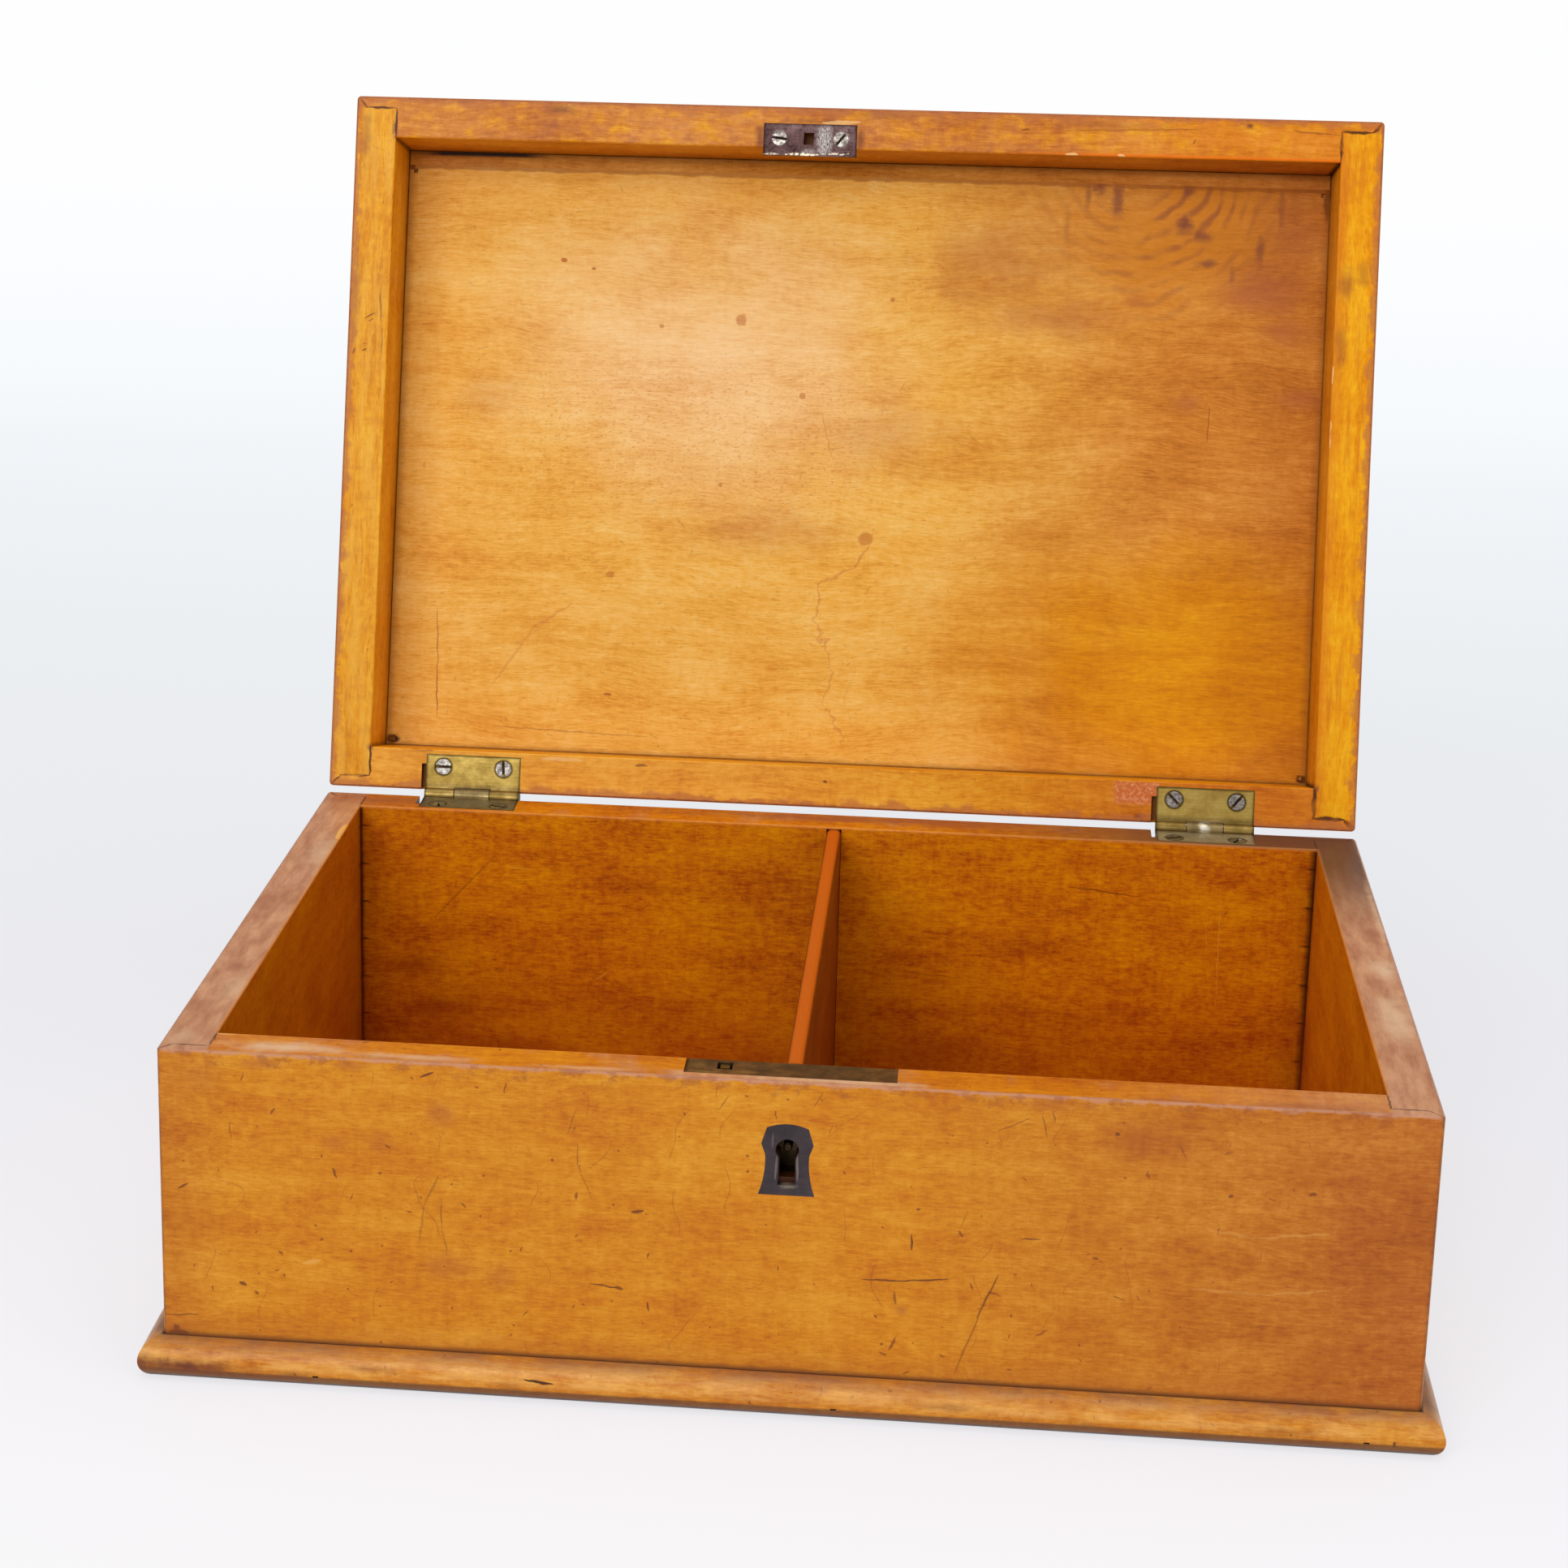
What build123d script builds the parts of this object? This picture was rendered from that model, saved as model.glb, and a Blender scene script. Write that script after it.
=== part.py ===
from build123d import *
from math import cos, radians, sin
import os

os.makedirs("parts", exist_ok=True)

# A ditty box: a small locked chest for papers and keepsakes. Four boards are joined by
# secret mitred dovetails, made up with their top as one closed box and then sawn apart
# into box and lid. X runs along the front, Y from front to back, Z up. The origin is the
# middle of the face it stands on. The lid is drawn standing open.

# Carcass and lid
box_length = 305.0  # outside, left to right
box_depth = 208.0  # outside, front to back
rim_height = 85.2  # rest face to the sawn rim
lid_height = 32.0  # sawn face of the lid to its top
saw_gap = 0.3  # left between rim and lid when shut
board = 12.2  # thickness of the carcass boards and lid rails
corner_round = 1.2  # worn upright corners
arris_flat = 0.5  # worn long edges of rim and lid, outside
inner_round = 0.5  # eased inner edges of rim and lid

# Secret mitred dovetails
lap = 3.4  # mitred lap that hides the tails from outside
tail_width = 11.9  # tails and pins are alike
tail_flare = 1.2  # how much wider a tail is at its end than at its root
mitre_cap = 4.0  # plain mitre above the topmost tail

# Base
bottom_thickness = 8.0
moulding_height = 10.0
moulding_bulge = 5.4  # furthest reach out of the wall
moulding_foot = 2.4  # reach out of the wall at the floor
moulding_lip = 0.7  # small square lip at the top of the moulding
brad_width = 1.4  # of the square brads that hold the bottom and mouldings
moulding_brad_length = 13.0
bottom_brad_length = 22.0
brad_inset = 26.0  # from the box's corners to the first brad

# Partition
partition_thickness = 4.2
partition_offset = 0.6  # to the right of the middle
partition_drop = 0.6  # below the rim
partition_housing = 2.0  # depth of its grooves in front and back boards
partition_play = 0.1  # each side of it in its grooves

# Lid panel
lid_hollow = 25.0  # depth of the lid's inside
tongue_length = 3.7
tongue_thickness = 3.0
tongue_setback = 1.2  # from the panel's inner face to its tongue
groove_play = 0.1  # above the tongue, in its groove
panel_clearance = 0.35  # round the panel, for its movement
strip_width = 4.5  # strip that makes up the panel's width at the front
tack_hole_width = 1.4  # of the old square tack holes in the panel's corners
tack_hole_depth = 2.5
tack_hole_inset = 1.8  # from the panel's edges to the hole's middle

# Hinges
hinge_length = 28.6
hinge_inset = 43.7  # from the box's end to the hinge's middle
leaf_depth = 10.8  # leaf, in from the back face
leaf_thickness = 1.3
knuckle_radius = 2.0
middle_knuckle = 10.4
knuckle_clearance = 0.3  # between knuckles, end to end
knuckle_relief = 0.3  # round the knuckles, in the wood
pin_radius = 1.0
pin_running = 0.05  # radial clearance in the knuckles that turn
pin_behind = 1.35  # pin's axis behind the back face
open_angle = 105.0  # lid as drawn, from shut
mortise_overcut = 1.4  # the mortises are cut a little long at their left ends
overcut_depth = 2.4
leaf_screw_spread = 18.2
leaf_screw_setback = 7.1  # from the back face

# Screws
hinge_screw_head = 4.7
hinge_screw_shank = 2.4
hinge_screw_length = 10.0
shank_sides = 8  # the shanks, hidden in the wood, are drawn without thread and eight-sided
strike_screw_head = 4.4
strike_screw_length = 9.0
lock_screw_head = 4.0
lock_screw_shank = 2.0
lock_screw_length = 7.0

# Lock
selvedge_thickness = 1.5
selvedge_drop = 0.25  # below the rim
selvedge_front = 2.9  # wood left in front of the selvedge
selvedge_corner = 0.6
lock_plate_thickness = 1.3
lock_plate_height = 31.0
case_width = 40.0
plate_margin = 5.4  # plate and selvedge beyond the case, at each end
case_height = 25.0
case_depth = 5.7
case_wall = 0.8
case_clearance = 0.2  # between the case and its mortise
bolt_offset = 15.9  # bolt, to the left of the key
bolt_width = 2.2
bolt_thickness = 2.4
bolt_throw = 4.4
bolt_sunk = 0.7  # bolt's end below the selvedge when drawn
bolt_play = 0.3  # round the bolt
bolt_slot_width = 3.7
bolt_slot_depth = 4.4
bolt_plate_width = 9.0
bolt_plate_height = 14.0
talon_radius = 3.0  # notch in the bolt that the key's bit pushes
guide_stud = 2.0  # diameter of the stud that guides the bolt
key_pin_radius = 1.1
key_pin_length = 9.2
spring_thickness = 0.5
spring_width = 4.0
spring_bow = 1.0  # how far the spring's middle stands off its ends
rivet_radius = 0.8
lock_screw_row = 16.0  # below the rim

# Keyhole and escutcheon
keyhole_drop = 17.4  # from the rim to the keyhole's round
keyhole_radius = 2.8
keyhole_slot = 3.8
keyhole_foot = 7.6  # from the round's middle to the slot's foot
escutcheon_slot_foot = 9.0  # the same in the escutcheon, which is worn longer
escutcheon_slot_flare = 4.3  # its slot's width at the foot
escutcheon_thickness = 1.8
escutcheon_top = 10.7  # from the rim
escutcheon_foot = 29.0
escutcheon_base = 13.5  # width at the foot
escutcheon_waist = 10.5
escutcheon_lobe = 12.5
escutcheon_shoulder = 10.0
shoulder_drop = 1.1  # from the top to the corners of the arch
lobe_drop = 5.2  # from the top to the points of the lobes
waist_drop = 8.0
flare_drop = 14.0  # from the top to where the sides turn outwards
flare_width = 11.2

# Strike plate
strike_length = 27.8
strike_thickness = 1.2
strike_front = 5.0  # wood left in front of it
strike_reach = 2.3  # overhang past the rail's inner face
strike_shift = 0.4  # its middle, to the right of the bolt
strike_hole_width = 3.0
strike_hole_depth = 3.6
strike_screw_spread = 18.3
strike_pocket = 5.0  # depth of the hollow for the bolt's end

# Worked out from the sizes above
half_length = box_length / 2
half_depth = box_depth / 2
inner_length = half_length - board
inner_depth = half_depth - board
core = board - lap
selvedge_length = case_width + 2 * plate_margin
pin_y = half_depth + pin_behind
pin_z = rim_height + saw_gap / 2
wall_foot = bottom_thickness
turn = radians(open_angle)
box_frame = Plane.XY
pin_frame = Plane(origin=(0, pin_y, pin_z), x_dir=(1, 0, 0), z_dir=(0, sin(turn), cos(turn)))
lid_frame = Plane(
    origin=pin_frame.from_local_coords(Vector(0, -pin_y, saw_gap / 2)),
    x_dir=(1, 0, 0),
    z_dir=pin_frame.z_dir,
)
hinge_centres = {"left": hinge_inset - half_length, "right": half_length - hinge_inset}


def on(frame, plane):
    """A plane given in a frame's own coordinates."""
    return Plane(frame.location * plane.location)


def finish(piece, name):
    """Labels a finished piece and writes it."""
    piece.part.label = name
    export_step(piece.part, f"parts/{name}.step")


# ---- boards with secret mitred dovetails --------------------------------------------------


def tail_bands(low, high, saw_line):
    """The heights of the tails between low and high: one tail is cut through by the saw."""
    bands = []
    for count in range(-8, 9):
        middle = saw_line + 2 * tail_width * count
        bottom, top = middle - tail_width / 2, middle + tail_width / 2
        if top > low and bottom < high:
            bands.append((bottom, top))
    return bands


def tails(frame, low, high, saw_line, ends, sides, mode):
    """Tails that run through the corner core, wider at their ends than at their roots."""
    for end in ends:
        start = inner_length if end > 0 else -(half_length - lap)
        for side in sides:
            root, tip = side * inner_depth, side * (half_depth - lap)
            for bottom, top in tail_bands(low, high, saw_line):
                dip = tail_flare / 2 if bottom - tail_flare > low else 0
                rise = tail_flare / 2 if top + tail_flare < high else 0
                bottom, top = max(bottom, low), min(top, high)
                with BuildSketch(on(frame, Plane.YZ.offset(start))) as tail:
                    with BuildLine():
                        Polyline(
                            (root, bottom + dip),
                            (tip, bottom - dip),
                            (tip, top + rise),
                            (root, top - rise),
                            close=True,
                        )
                    make_face()
                extrude(tail.sketch, amount=core, mode=mode)


def board_outline(half_run, half_across, place, lapped):
    """Half a board seen from above: its rounded corner, mitre and, if lapped, the step."""
    heart = (half_run - corner_round, half_across - corner_round)
    eighth = [
        place(heart[0] + corner_round * cos(radians(a)), heart[1] + corner_round * sin(radians(a)))
        for a in (90, 67.5, 45)
    ]
    Line(place(0, half_across), eighth[0])
    ThreePointArc(*eighth)
    inside = [(half_run - board, half_across - board), (0, half_across - board)]
    if lapped:
        inside = [(half_run - lap, half_across - lap), (half_run - board, half_across - lap)] + inside
    Polyline(eighth[2], *[place(*point) for point in inside])


def carcass_board(frame, low, high, saw_line, runs_along, outward, cap):
    """One board or rail. Those along X have pins, those along Y have tails."""
    along_x = runs_along == "x"
    half_run, half_across = (half_length, half_depth) if along_x else (half_depth, half_length)
    place = (lambda s, t: (s, outward * t)) if along_x else (lambda s, t: (outward * t, s))
    mirror_plane = Plane.YZ if along_x else Plane.XZ
    top = high - cap
    with BuildPart() as blank:
        for start, stop, lapped in ((low, top, True), (top, high, False)):
            if stop > start:
                with BuildSketch(on(frame, Plane.XY.offset(start))):
                    with BuildLine():
                        board_outline(half_run, half_across, place, lapped)
                        mirror(about=mirror_plane)
                    make_face()
                extrude(amount=stop - start)
        for height in (low, high) if cap else (high,):
            worn = outer_edges(blank, frame, half_run, half_across, along_x, outward, height)
            chamfer(worn, arris_flat)
        sawn = low if cap else high
        fillet(inner_edge(blank, frame, half_across - board, along_x, outward, sawn), inner_round)
        if along_x:
            for end in (-1, 1):
                with BuildSketch(on(frame, Plane.XY.offset(low))):
                    with Locations((end * (inner_length + core / 2), outward * (inner_depth + core / 2))):
                        Rectangle(core, core)
                extrude(amount=top - low)
            tails(frame, low, top, saw_line, (-1, 1), (outward,), Mode.SUBTRACT)
        else:
            tails(frame, low, top, saw_line, (outward,), (-1, 1), Mode.ADD)
    return blank.part


def outer_edges(piece, frame, half_run, half_across, along_x, outward, height):
    """The outer edge of a board at a height: the long edge and the two corner arcs."""
    found = []
    for edge in piece.edges():
        middle = frame.to_local_coords(edge.center())
        across = (middle.Y if along_x else middle.X) * outward
        run = abs(middle.X if along_x else middle.Y)
        level = abs(middle.Z - height) < 0.01 and edge.geom_type != GeomType.BSPLINE
        if level and across > half_across - corner_round / 2 and run < half_run - corner_round / 8:
            found.append(edge)
    return found


def inner_edge(piece, frame, inner_across, along_x, outward, height):
    """The long inner edge of a board at a height."""
    found = []
    for edge in piece.edges():
        middle = frame.to_local_coords(edge.center())
        across = (middle.Y if along_x else middle.X) * outward
        run = abs(middle.X if along_x else middle.Y)
        if abs(middle.Z - height) < 0.01 and abs(across - inner_across) < 0.01 and run < board:
            found.append(edge)
    return found


def wall(runs_along, outward):
    return carcass_board(box_frame, wall_foot, rim_height, pin_z, runs_along, outward, 0)


def rail(runs_along, outward):
    return carcass_board(lid_frame, 0, lid_height, -saw_gap / 2, runs_along, outward, mitre_cap)


# ---- screws, brads and their holes ----------------------------------------------------------


def upright(frame, x, y, z, facing=1):
    """A plane in a frame at a point, facing along the frame's Z, or against it."""
    return on(frame, Plane(origin=(x, y, z), x_dir=(1, 0, 0), z_dir=(0, 0, facing)))


def screw(plane, head, shank, length, mode=Mode.ADD):
    """A countersunk wood screw, its head flush with the plane."""
    sink = (head - shank) / 2
    section = Plane(origin=plane.origin, x_dir=plane.x_dir, z_dir=plane.y_dir * -1)
    with BuildSketch(section) as half:
        with BuildLine():
            Polyline((0, 0), (head / 2, 0), (shank / 2, -sink), (0, -sink), close=True)
        make_face()
    revolve(half.sketch, axis=Axis(plane.origin, plane.z_dir), mode=mode)
    with BuildSketch(plane.offset(-sink)) as shank_section:
        RegularPolygon(shank / 2, shank_sides)
    extrude(shank_section.sketch, amount=sink - length, mode=mode)


def rod(plane, radius, length, mode=Mode.ADD):
    """A round rod that starts at the plane and runs along its normal."""
    with BuildSketch(plane) as disc:
        Circle(radius)
    extrude(disc.sketch, amount=length, mode=mode)


def spike(plane, width, length, mode=Mode.ADD):
    """A square brad that starts at the plane and runs along its normal."""
    with BuildSketch(plane) as section:
        Rectangle(width, width)
    extrude(section.sketch, amount=length, mode=mode)


def leaf_screws(frame, centre, facing):
    """Planes of the two screws of a hinge leaf."""
    row = half_depth - leaf_screw_setback
    face = rim_height if frame is box_frame else 0
    return [
        upright(frame, centre + way * leaf_screw_spread / 2, row, face, facing) for way in (-1, 1)
    ]


def block(frame, x, y, z, mode=Mode.ADD):
    """A block between two limits each way."""
    with BuildSketch(on(frame, Plane.XY.offset(z[0]))) as base:
        with Locations(((x[0] + x[1]) / 2, (y[0] + y[1]) / 2)):
            Rectangle(x[1] - x[0], y[1] - y[0])
    extrude(base.sketch, amount=z[1] - z[0], mode=mode)


def hinge_seat(frame, centre, down):
    """Cuts the mortise for a leaf, the overcut at its left end and the hollow for the knuckles."""
    face = rim_height if frame is box_frame else 0
    left, right = centre - hinge_length / 2, centre + hinge_length / 2
    front = half_depth - leaf_depth
    back = half_depth + 1
    block(frame, (left, right), (front, back), sorted((face, face + down * leaf_thickness)), Mode.SUBTRACT)
    slack = (left - mortise_overcut, left)
    block(frame, slack, (front + 3, back), sorted((face, face + down * overcut_depth)), Mode.SUBTRACT)
    start = on(frame, Plane.YZ.offset(left - mortise_overcut))
    axis_height = pin_z if frame is box_frame else -saw_gap / 2
    with BuildSketch(start) as hollow:
        with Locations((pin_y, axis_height)):
            Circle(knuckle_radius + knuckle_relief)
    extrude(hollow.sketch, amount=hinge_length + mortise_overcut, mode=Mode.SUBTRACT)
    for place in leaf_screws(frame, centre, -down):
        screw(place, hinge_screw_head, hinge_screw_shank, hinge_screw_length, Mode.SUBTRACT)


# ---- keyhole and lock places ---------------------------------------------------------------

key_z = rim_height - keyhole_drop
front_face = Plane(origin=(0, -half_depth, 0), x_dir=(1, 0, 0), z_dir=(0, -1, 0))
inner_face_y = -inner_depth
plate_front = inner_face_y - lock_plate_thickness
case_front = plate_front - case_depth
bolt_back = plate_front - bolt_play
bolt_front = bolt_back - bolt_thickness
selvedge_top = rim_height - selvedge_drop
case_top = selvedge_top - selvedge_thickness
case_foot = case_top - case_height


def keyhole(plane, depth, foot=keyhole_foot, foot_width=keyhole_slot):
    """Cuts the keyhole from a plane that faces the front, into the wood."""
    with BuildSketch(plane) as hole:
        with BuildLine():
            Polyline(
                (-keyhole_slot / 2, key_z),
                (-foot_width / 2, key_z - foot),
                (foot_width / 2, key_z - foot),
                (keyhole_slot / 2, key_z),
                close=True,
            )
        make_face()
        with Locations((0, key_z)):
            Circle(keyhole_radius)
    extrude(hole.sketch, amount=-depth, mode=Mode.SUBTRACT)


def escutcheon_outline():
    """Low arch between two corners, pointed side lobes, a waist and sides that spread to the foot."""
    top, foot = rim_height - escutcheon_top, rim_height - escutcheon_foot

    def point(side, width, drop):
        return (side * width / 2, top - drop)

    with BuildLine() as outline:
        ThreePointArc(
            point(-1, escutcheon_shoulder, shoulder_drop),
            (0, top),
            point(1, escutcheon_shoulder, shoulder_drop),
        )
        for side in (-1, 1):
            shoulder = point(side, escutcheon_shoulder, shoulder_drop)
            lobe = point(side, escutcheon_lobe, lobe_drop)
            waist = point(side, escutcheon_waist, waist_drop)
            base = (side * escutcheon_base / 2, foot)
            Line(shoulder, lobe)
            Line(lobe, waist)
            ThreePointArc(waist, point(side, flare_width, flare_drop), base)
        Line((-escutcheon_base / 2, foot), (escutcheon_base / 2, foot))
    make_face(outline.edges())


def lock_screw_places():
    """Planes of the two screws in the lock's plate, facing into the box."""
    reach = (case_width + plate_margin) / 2
    row = rim_height - lock_screw_row
    return [
        Plane(origin=(way * reach, inner_face_y, row), x_dir=(1, 0, 0), z_dir=(0, 1, 0))
        for way in (-1, 1)
    ]


def rivet_places():
    """Planes of the two rivets that hold the case to its plate."""
    reach = case_width / 2 - case_wall - 1.25 * rivet_radius
    rise = case_height / 2 - case_wall - 1.25 * rivet_radius
    middle = (case_top + case_foot) / 2
    return [
        Plane(origin=(way * reach, plate_front, middle + way * rise), x_dir=(1, 0, 0), z_dir=(0, -1, 0))
        for way in (-1, 1)
    ]


# ---- brads of the base ------------------------------------------------------------------------


def spread(reach, count):
    """Places spread evenly over a run, the outer two a set way in from its ends."""
    first = reach - brad_inset
    return [first * (2 * k / (count - 1) - 1) for k in range(count)]


def bottom_brad_places():
    """Planes of the brads that hold the bottom board, driven up into the walls."""
    along, across = half_length - board / 2, half_depth - board / 2
    points = [(x, side * across) for x in spread(half_length, 4) for side in (-1, 1)]
    points += [(end * along, y) for y in spread(half_depth, 3) for end in (-1, 1)]
    return [upright(box_frame, x, y, 0) for x, y in points]


def moulding_brad_places():
    """Planes of the brads that hold the mouldings, facing into the wall."""
    height = bottom_thickness / 2
    places = []
    for side in (-1, 1):
        for x in spread(half_length, 3):
            origin = (x + brad_inset / 2, side * (half_depth + moulding_bulge - 0.1), height)
            places.append(Plane(origin=origin, x_dir=(1, 0, 0), z_dir=(0, -side, 0)))
        for y in spread(half_depth, 2):
            origin = (side * (half_length + moulding_bulge - 0.1), y + brad_inset / 2, height)
            places.append(Plane(origin=origin, x_dir=(0, 1, 0), z_dir=(-side, 0, 0)))
    return places


# ---- box: the four boards --------------------------------------------------------------------

plate_foot = rim_height - lock_plate_height
plate_span = (-selvedge_length / 2, selvedge_length / 2)
case_span = (-case_width / 2 - case_clearance, case_width / 2 + case_clearance)
partition_half = partition_thickness / 2
partition_span = (partition_offset - partition_half, partition_offset + partition_half)
groove = (partition_span[0] - partition_play, partition_span[1] + partition_play)

front_wall = wall("x", -1)
with BuildPart() as front_board:
    add(front_wall)
    block(box_frame, plate_span, (plate_front, 0), (plate_foot, rim_height), Mode.SUBTRACT)
    selvedge_span = (-half_depth + selvedge_front, 0)
    block(box_frame, plate_span, selvedge_span, (case_top, rim_height), Mode.SUBTRACT)
    case_rows = (case_foot - case_clearance, rim_height)
    block(box_frame, case_span, (case_front - case_clearance, 0), case_rows, Mode.SUBTRACT)
    keyhole(front_face, board)
    with BuildSketch(front_face):
        escutcheon_outline()
    extrude(amount=-escutcheon_thickness, mode=Mode.SUBTRACT)
    housing_rows = (wall_foot, plate_foot)
    block(box_frame, groove, (inner_face_y - partition_housing, 0), housing_rows, Mode.SUBTRACT)
    for place in lock_screw_places():
        screw(place, lock_screw_head, lock_screw_shank, lock_screw_length, Mode.SUBTRACT)
    for place in bottom_brad_places():
        spike(place, brad_width, bottom_brad_length, Mode.SUBTRACT)
finish(front_board, "front_board")

rear_wall = wall("x", 1)
with BuildPart() as back_board:
    add(rear_wall)
    for centre in hinge_centres.values():
        hinge_seat(box_frame, centre, -1)
    housing_rows = (wall_foot, rim_height - partition_drop)
    block(box_frame, groove, (0, inner_depth + partition_housing), housing_rows, Mode.SUBTRACT)
    for place in bottom_brad_places():
        spike(place, brad_width, bottom_brad_length, Mode.SUBTRACT)
finish(back_board, "back_board")

for name, outward in (("left", -1), ("right", 1)):
    side_wall = wall("y", outward)
    with BuildPart() as side_board:
        add(side_wall)
        for place in bottom_brad_places():
            spike(place, brad_width, bottom_brad_length, Mode.SUBTRACT)
    finish(side_board, f"{name}_side_board")

# ---- box: bottom, mouldings, partition ---------------------------------------------------------

with BuildPart() as bottom_board:
    with BuildSketch(Plane.XY):
        Rectangle(box_length, box_depth)
    extrude(amount=bottom_thickness)
    for place in bottom_brad_places():
        spike(place, brad_width, bottom_brad_length, Mode.SUBTRACT)
    for place in moulding_brad_places():
        spike(place, brad_width, moulding_brad_length, Mode.SUBTRACT)
finish(bottom_board, "bottom_board")

with BuildPart() as bottom_brads:
    for place in bottom_brad_places():
        spike(place, brad_width, bottom_brad_length)
finish(bottom_brads, "bottom_brads")

with BuildPart() as moulding_brads:
    for place in moulding_brad_places():
        spike(place, brad_width, moulding_brad_length)
finish(moulding_brads, "moulding_brads")


def moulding(runs_along, outward):
    """A length of half-round moulding, mitred at both ends, planted on the wall's foot."""
    along_x = runs_along == "x"
    wall_out = half_depth if along_x else half_length
    run = (half_length if along_x else half_depth) + moulding_bulge
    across = Vector(0, outward, 0) if along_x else Vector(outward, 0, 0)
    along = across.cross(Vector(0, 0, 1))
    section = Plane(origin=along * -run, x_dir=across, z_dir=along)
    with BuildPart() as strip:
        with BuildSketch(section):
            with BuildLine():
                brow = (wall_out + moulding_lip, moulding_height)
                belly = (wall_out + moulding_bulge, moulding_height * 0.48)
                foot = (wall_out + moulding_foot, 0)
                Polyline(foot, (wall_out, 0), (wall_out, moulding_height), brow)
                ThreePointArc(brow, belly, foot)
            make_face()
        extrude(amount=2 * run)
        for way in (-1, 1):
            spot = across * wall_out + along * way * (run - moulding_bulge)
            normal = (along * way - across).normalized()
            split(bisect_by=Plane(origin=spot, z_dir=normal), keep=Keep.BOTTOM)
        for place in moulding_brad_places():
            spike(place, brad_width, moulding_brad_length, Mode.SUBTRACT)
    return strip


for name, runs_along, outward in (
    ("front", "x", -1),
    ("rear", "x", 1),
    ("left", "y", -1),
    ("right", "y", 1),
):
    finish(moulding(runs_along, outward), f"{name}_moulding")

partition_top = rim_height - partition_drop
with BuildPart() as partition:
    reach = inner_depth + partition_housing
    rows = (bottom_thickness, partition_top)
    block(box_frame, partition_span, (-inner_depth, reach), rows)
    fillet(partition.edges().filter_by(Axis.Y).group_by(Axis.Z)[-1], partition_thickness * 0.35)
    tongue_rows = (bottom_thickness, plate_foot)
    block(box_frame, partition_span, (-reach, -inner_depth), tongue_rows)
finish(partition, "partition")

# ---- lock -------------------------------------------------------------------------------------

bolt_slot_y = (bolt_back + bolt_play - bolt_slot_depth, bolt_back + bolt_play)
bolt_slot_x = (-bolt_offset - bolt_slot_width / 2, -bolt_offset + bolt_slot_width / 2)

with BuildPart() as lock_plate:
    block(box_frame, plate_span, (plate_front, inner_face_y), (plate_foot, selvedge_top))
    selvedge_span = (-half_depth + selvedge_front, inner_face_y)
    block(box_frame, plate_span, selvedge_span, (case_top, selvedge_top))
    fillet(lock_plate.edges().filter_by(Axis.Z).group_by(Axis.Y)[0], selvedge_corner)
    block(box_frame, bolt_slot_x, bolt_slot_y, (case_top, rim_height), Mode.SUBTRACT)
    for place in lock_screw_places():
        screw(place, lock_screw_head, lock_screw_shank, lock_screw_length, Mode.SUBTRACT)
finish(lock_plate, "lock_plate")

with BuildPart() as lock_screws:
    for place in lock_screw_places():
        screw(place, lock_screw_head, lock_screw_shank, lock_screw_length)
finish(lock_screws, "lock_screws")

case_box = (-case_width / 2, case_width / 2)
with BuildPart() as lock_case:
    block(box_frame, case_box, (case_front, plate_front), (case_foot, case_top))
    hollow = (-case_width / 2 + case_wall, case_width / 2 - case_wall)
    block(
        box_frame,
        hollow,
        (case_front + case_wall, plate_front),
        (case_foot + case_wall, case_top),
        Mode.SUBTRACT,
    )
    keyhole(front_face, half_depth + case_front + case_depth / 2)
    for place in rivet_places():
        rod(place, rivet_radius, case_depth, Mode.SUBTRACT)
finish(lock_case, "lock_case")

with BuildPart() as lock_rivets:
    for place in rivet_places():
        rod(place, rivet_radius, case_depth)
finish(lock_rivets, "lock_rivets")

with BuildPart() as lock_key_pin:
    pin_root = Plane(origin=(0, plate_front, key_z), x_dir=(1, 0, 0), z_dir=(0, -1, 0))
    rod(pin_root, key_pin_radius, key_pin_length)
    chamfer(lock_key_pin.edges().group_by(Axis.Y)[0], key_pin_radius * 0.3)
finish(lock_key_pin, "lock_key_pin")

bolt_top = rim_height - bolt_sunk
bolt_shoulder = case_top - bolt_play - bolt_throw
bolt_face = Plane(origin=(0, bolt_back, 0), x_dir=(1, 0, 0), z_dir=(0, -1, 0))
bolt_left = -bolt_offset - bolt_width / 2
bolt_middle = bolt_left + bolt_plate_width / 2
guide_z = bolt_shoulder - bolt_plate_height / 4
with BuildPart() as lock_bolt:
    with BuildSketch(bolt_face):
        with Locations((bolt_middle, bolt_shoulder - bolt_plate_height / 2)):
            Rectangle(bolt_plate_width, bolt_plate_height)
        with Locations((-bolt_offset, (bolt_top + bolt_shoulder) / 2)):
            Rectangle(bolt_width, bolt_top - bolt_shoulder)
        with Locations((bolt_left + bolt_plate_width, key_z - bolt_throw / 2)):
            Circle(talon_radius, mode=Mode.SUBTRACT)
        with Locations((bolt_middle, guide_z - bolt_throw / 2)):
            SlotCenterToCenter(bolt_throw, guide_stud + 2 * bolt_play, rotation=90, mode=Mode.SUBTRACT)
    extrude(amount=bolt_thickness)
finish(lock_bolt, "lock_bolt")

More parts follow.
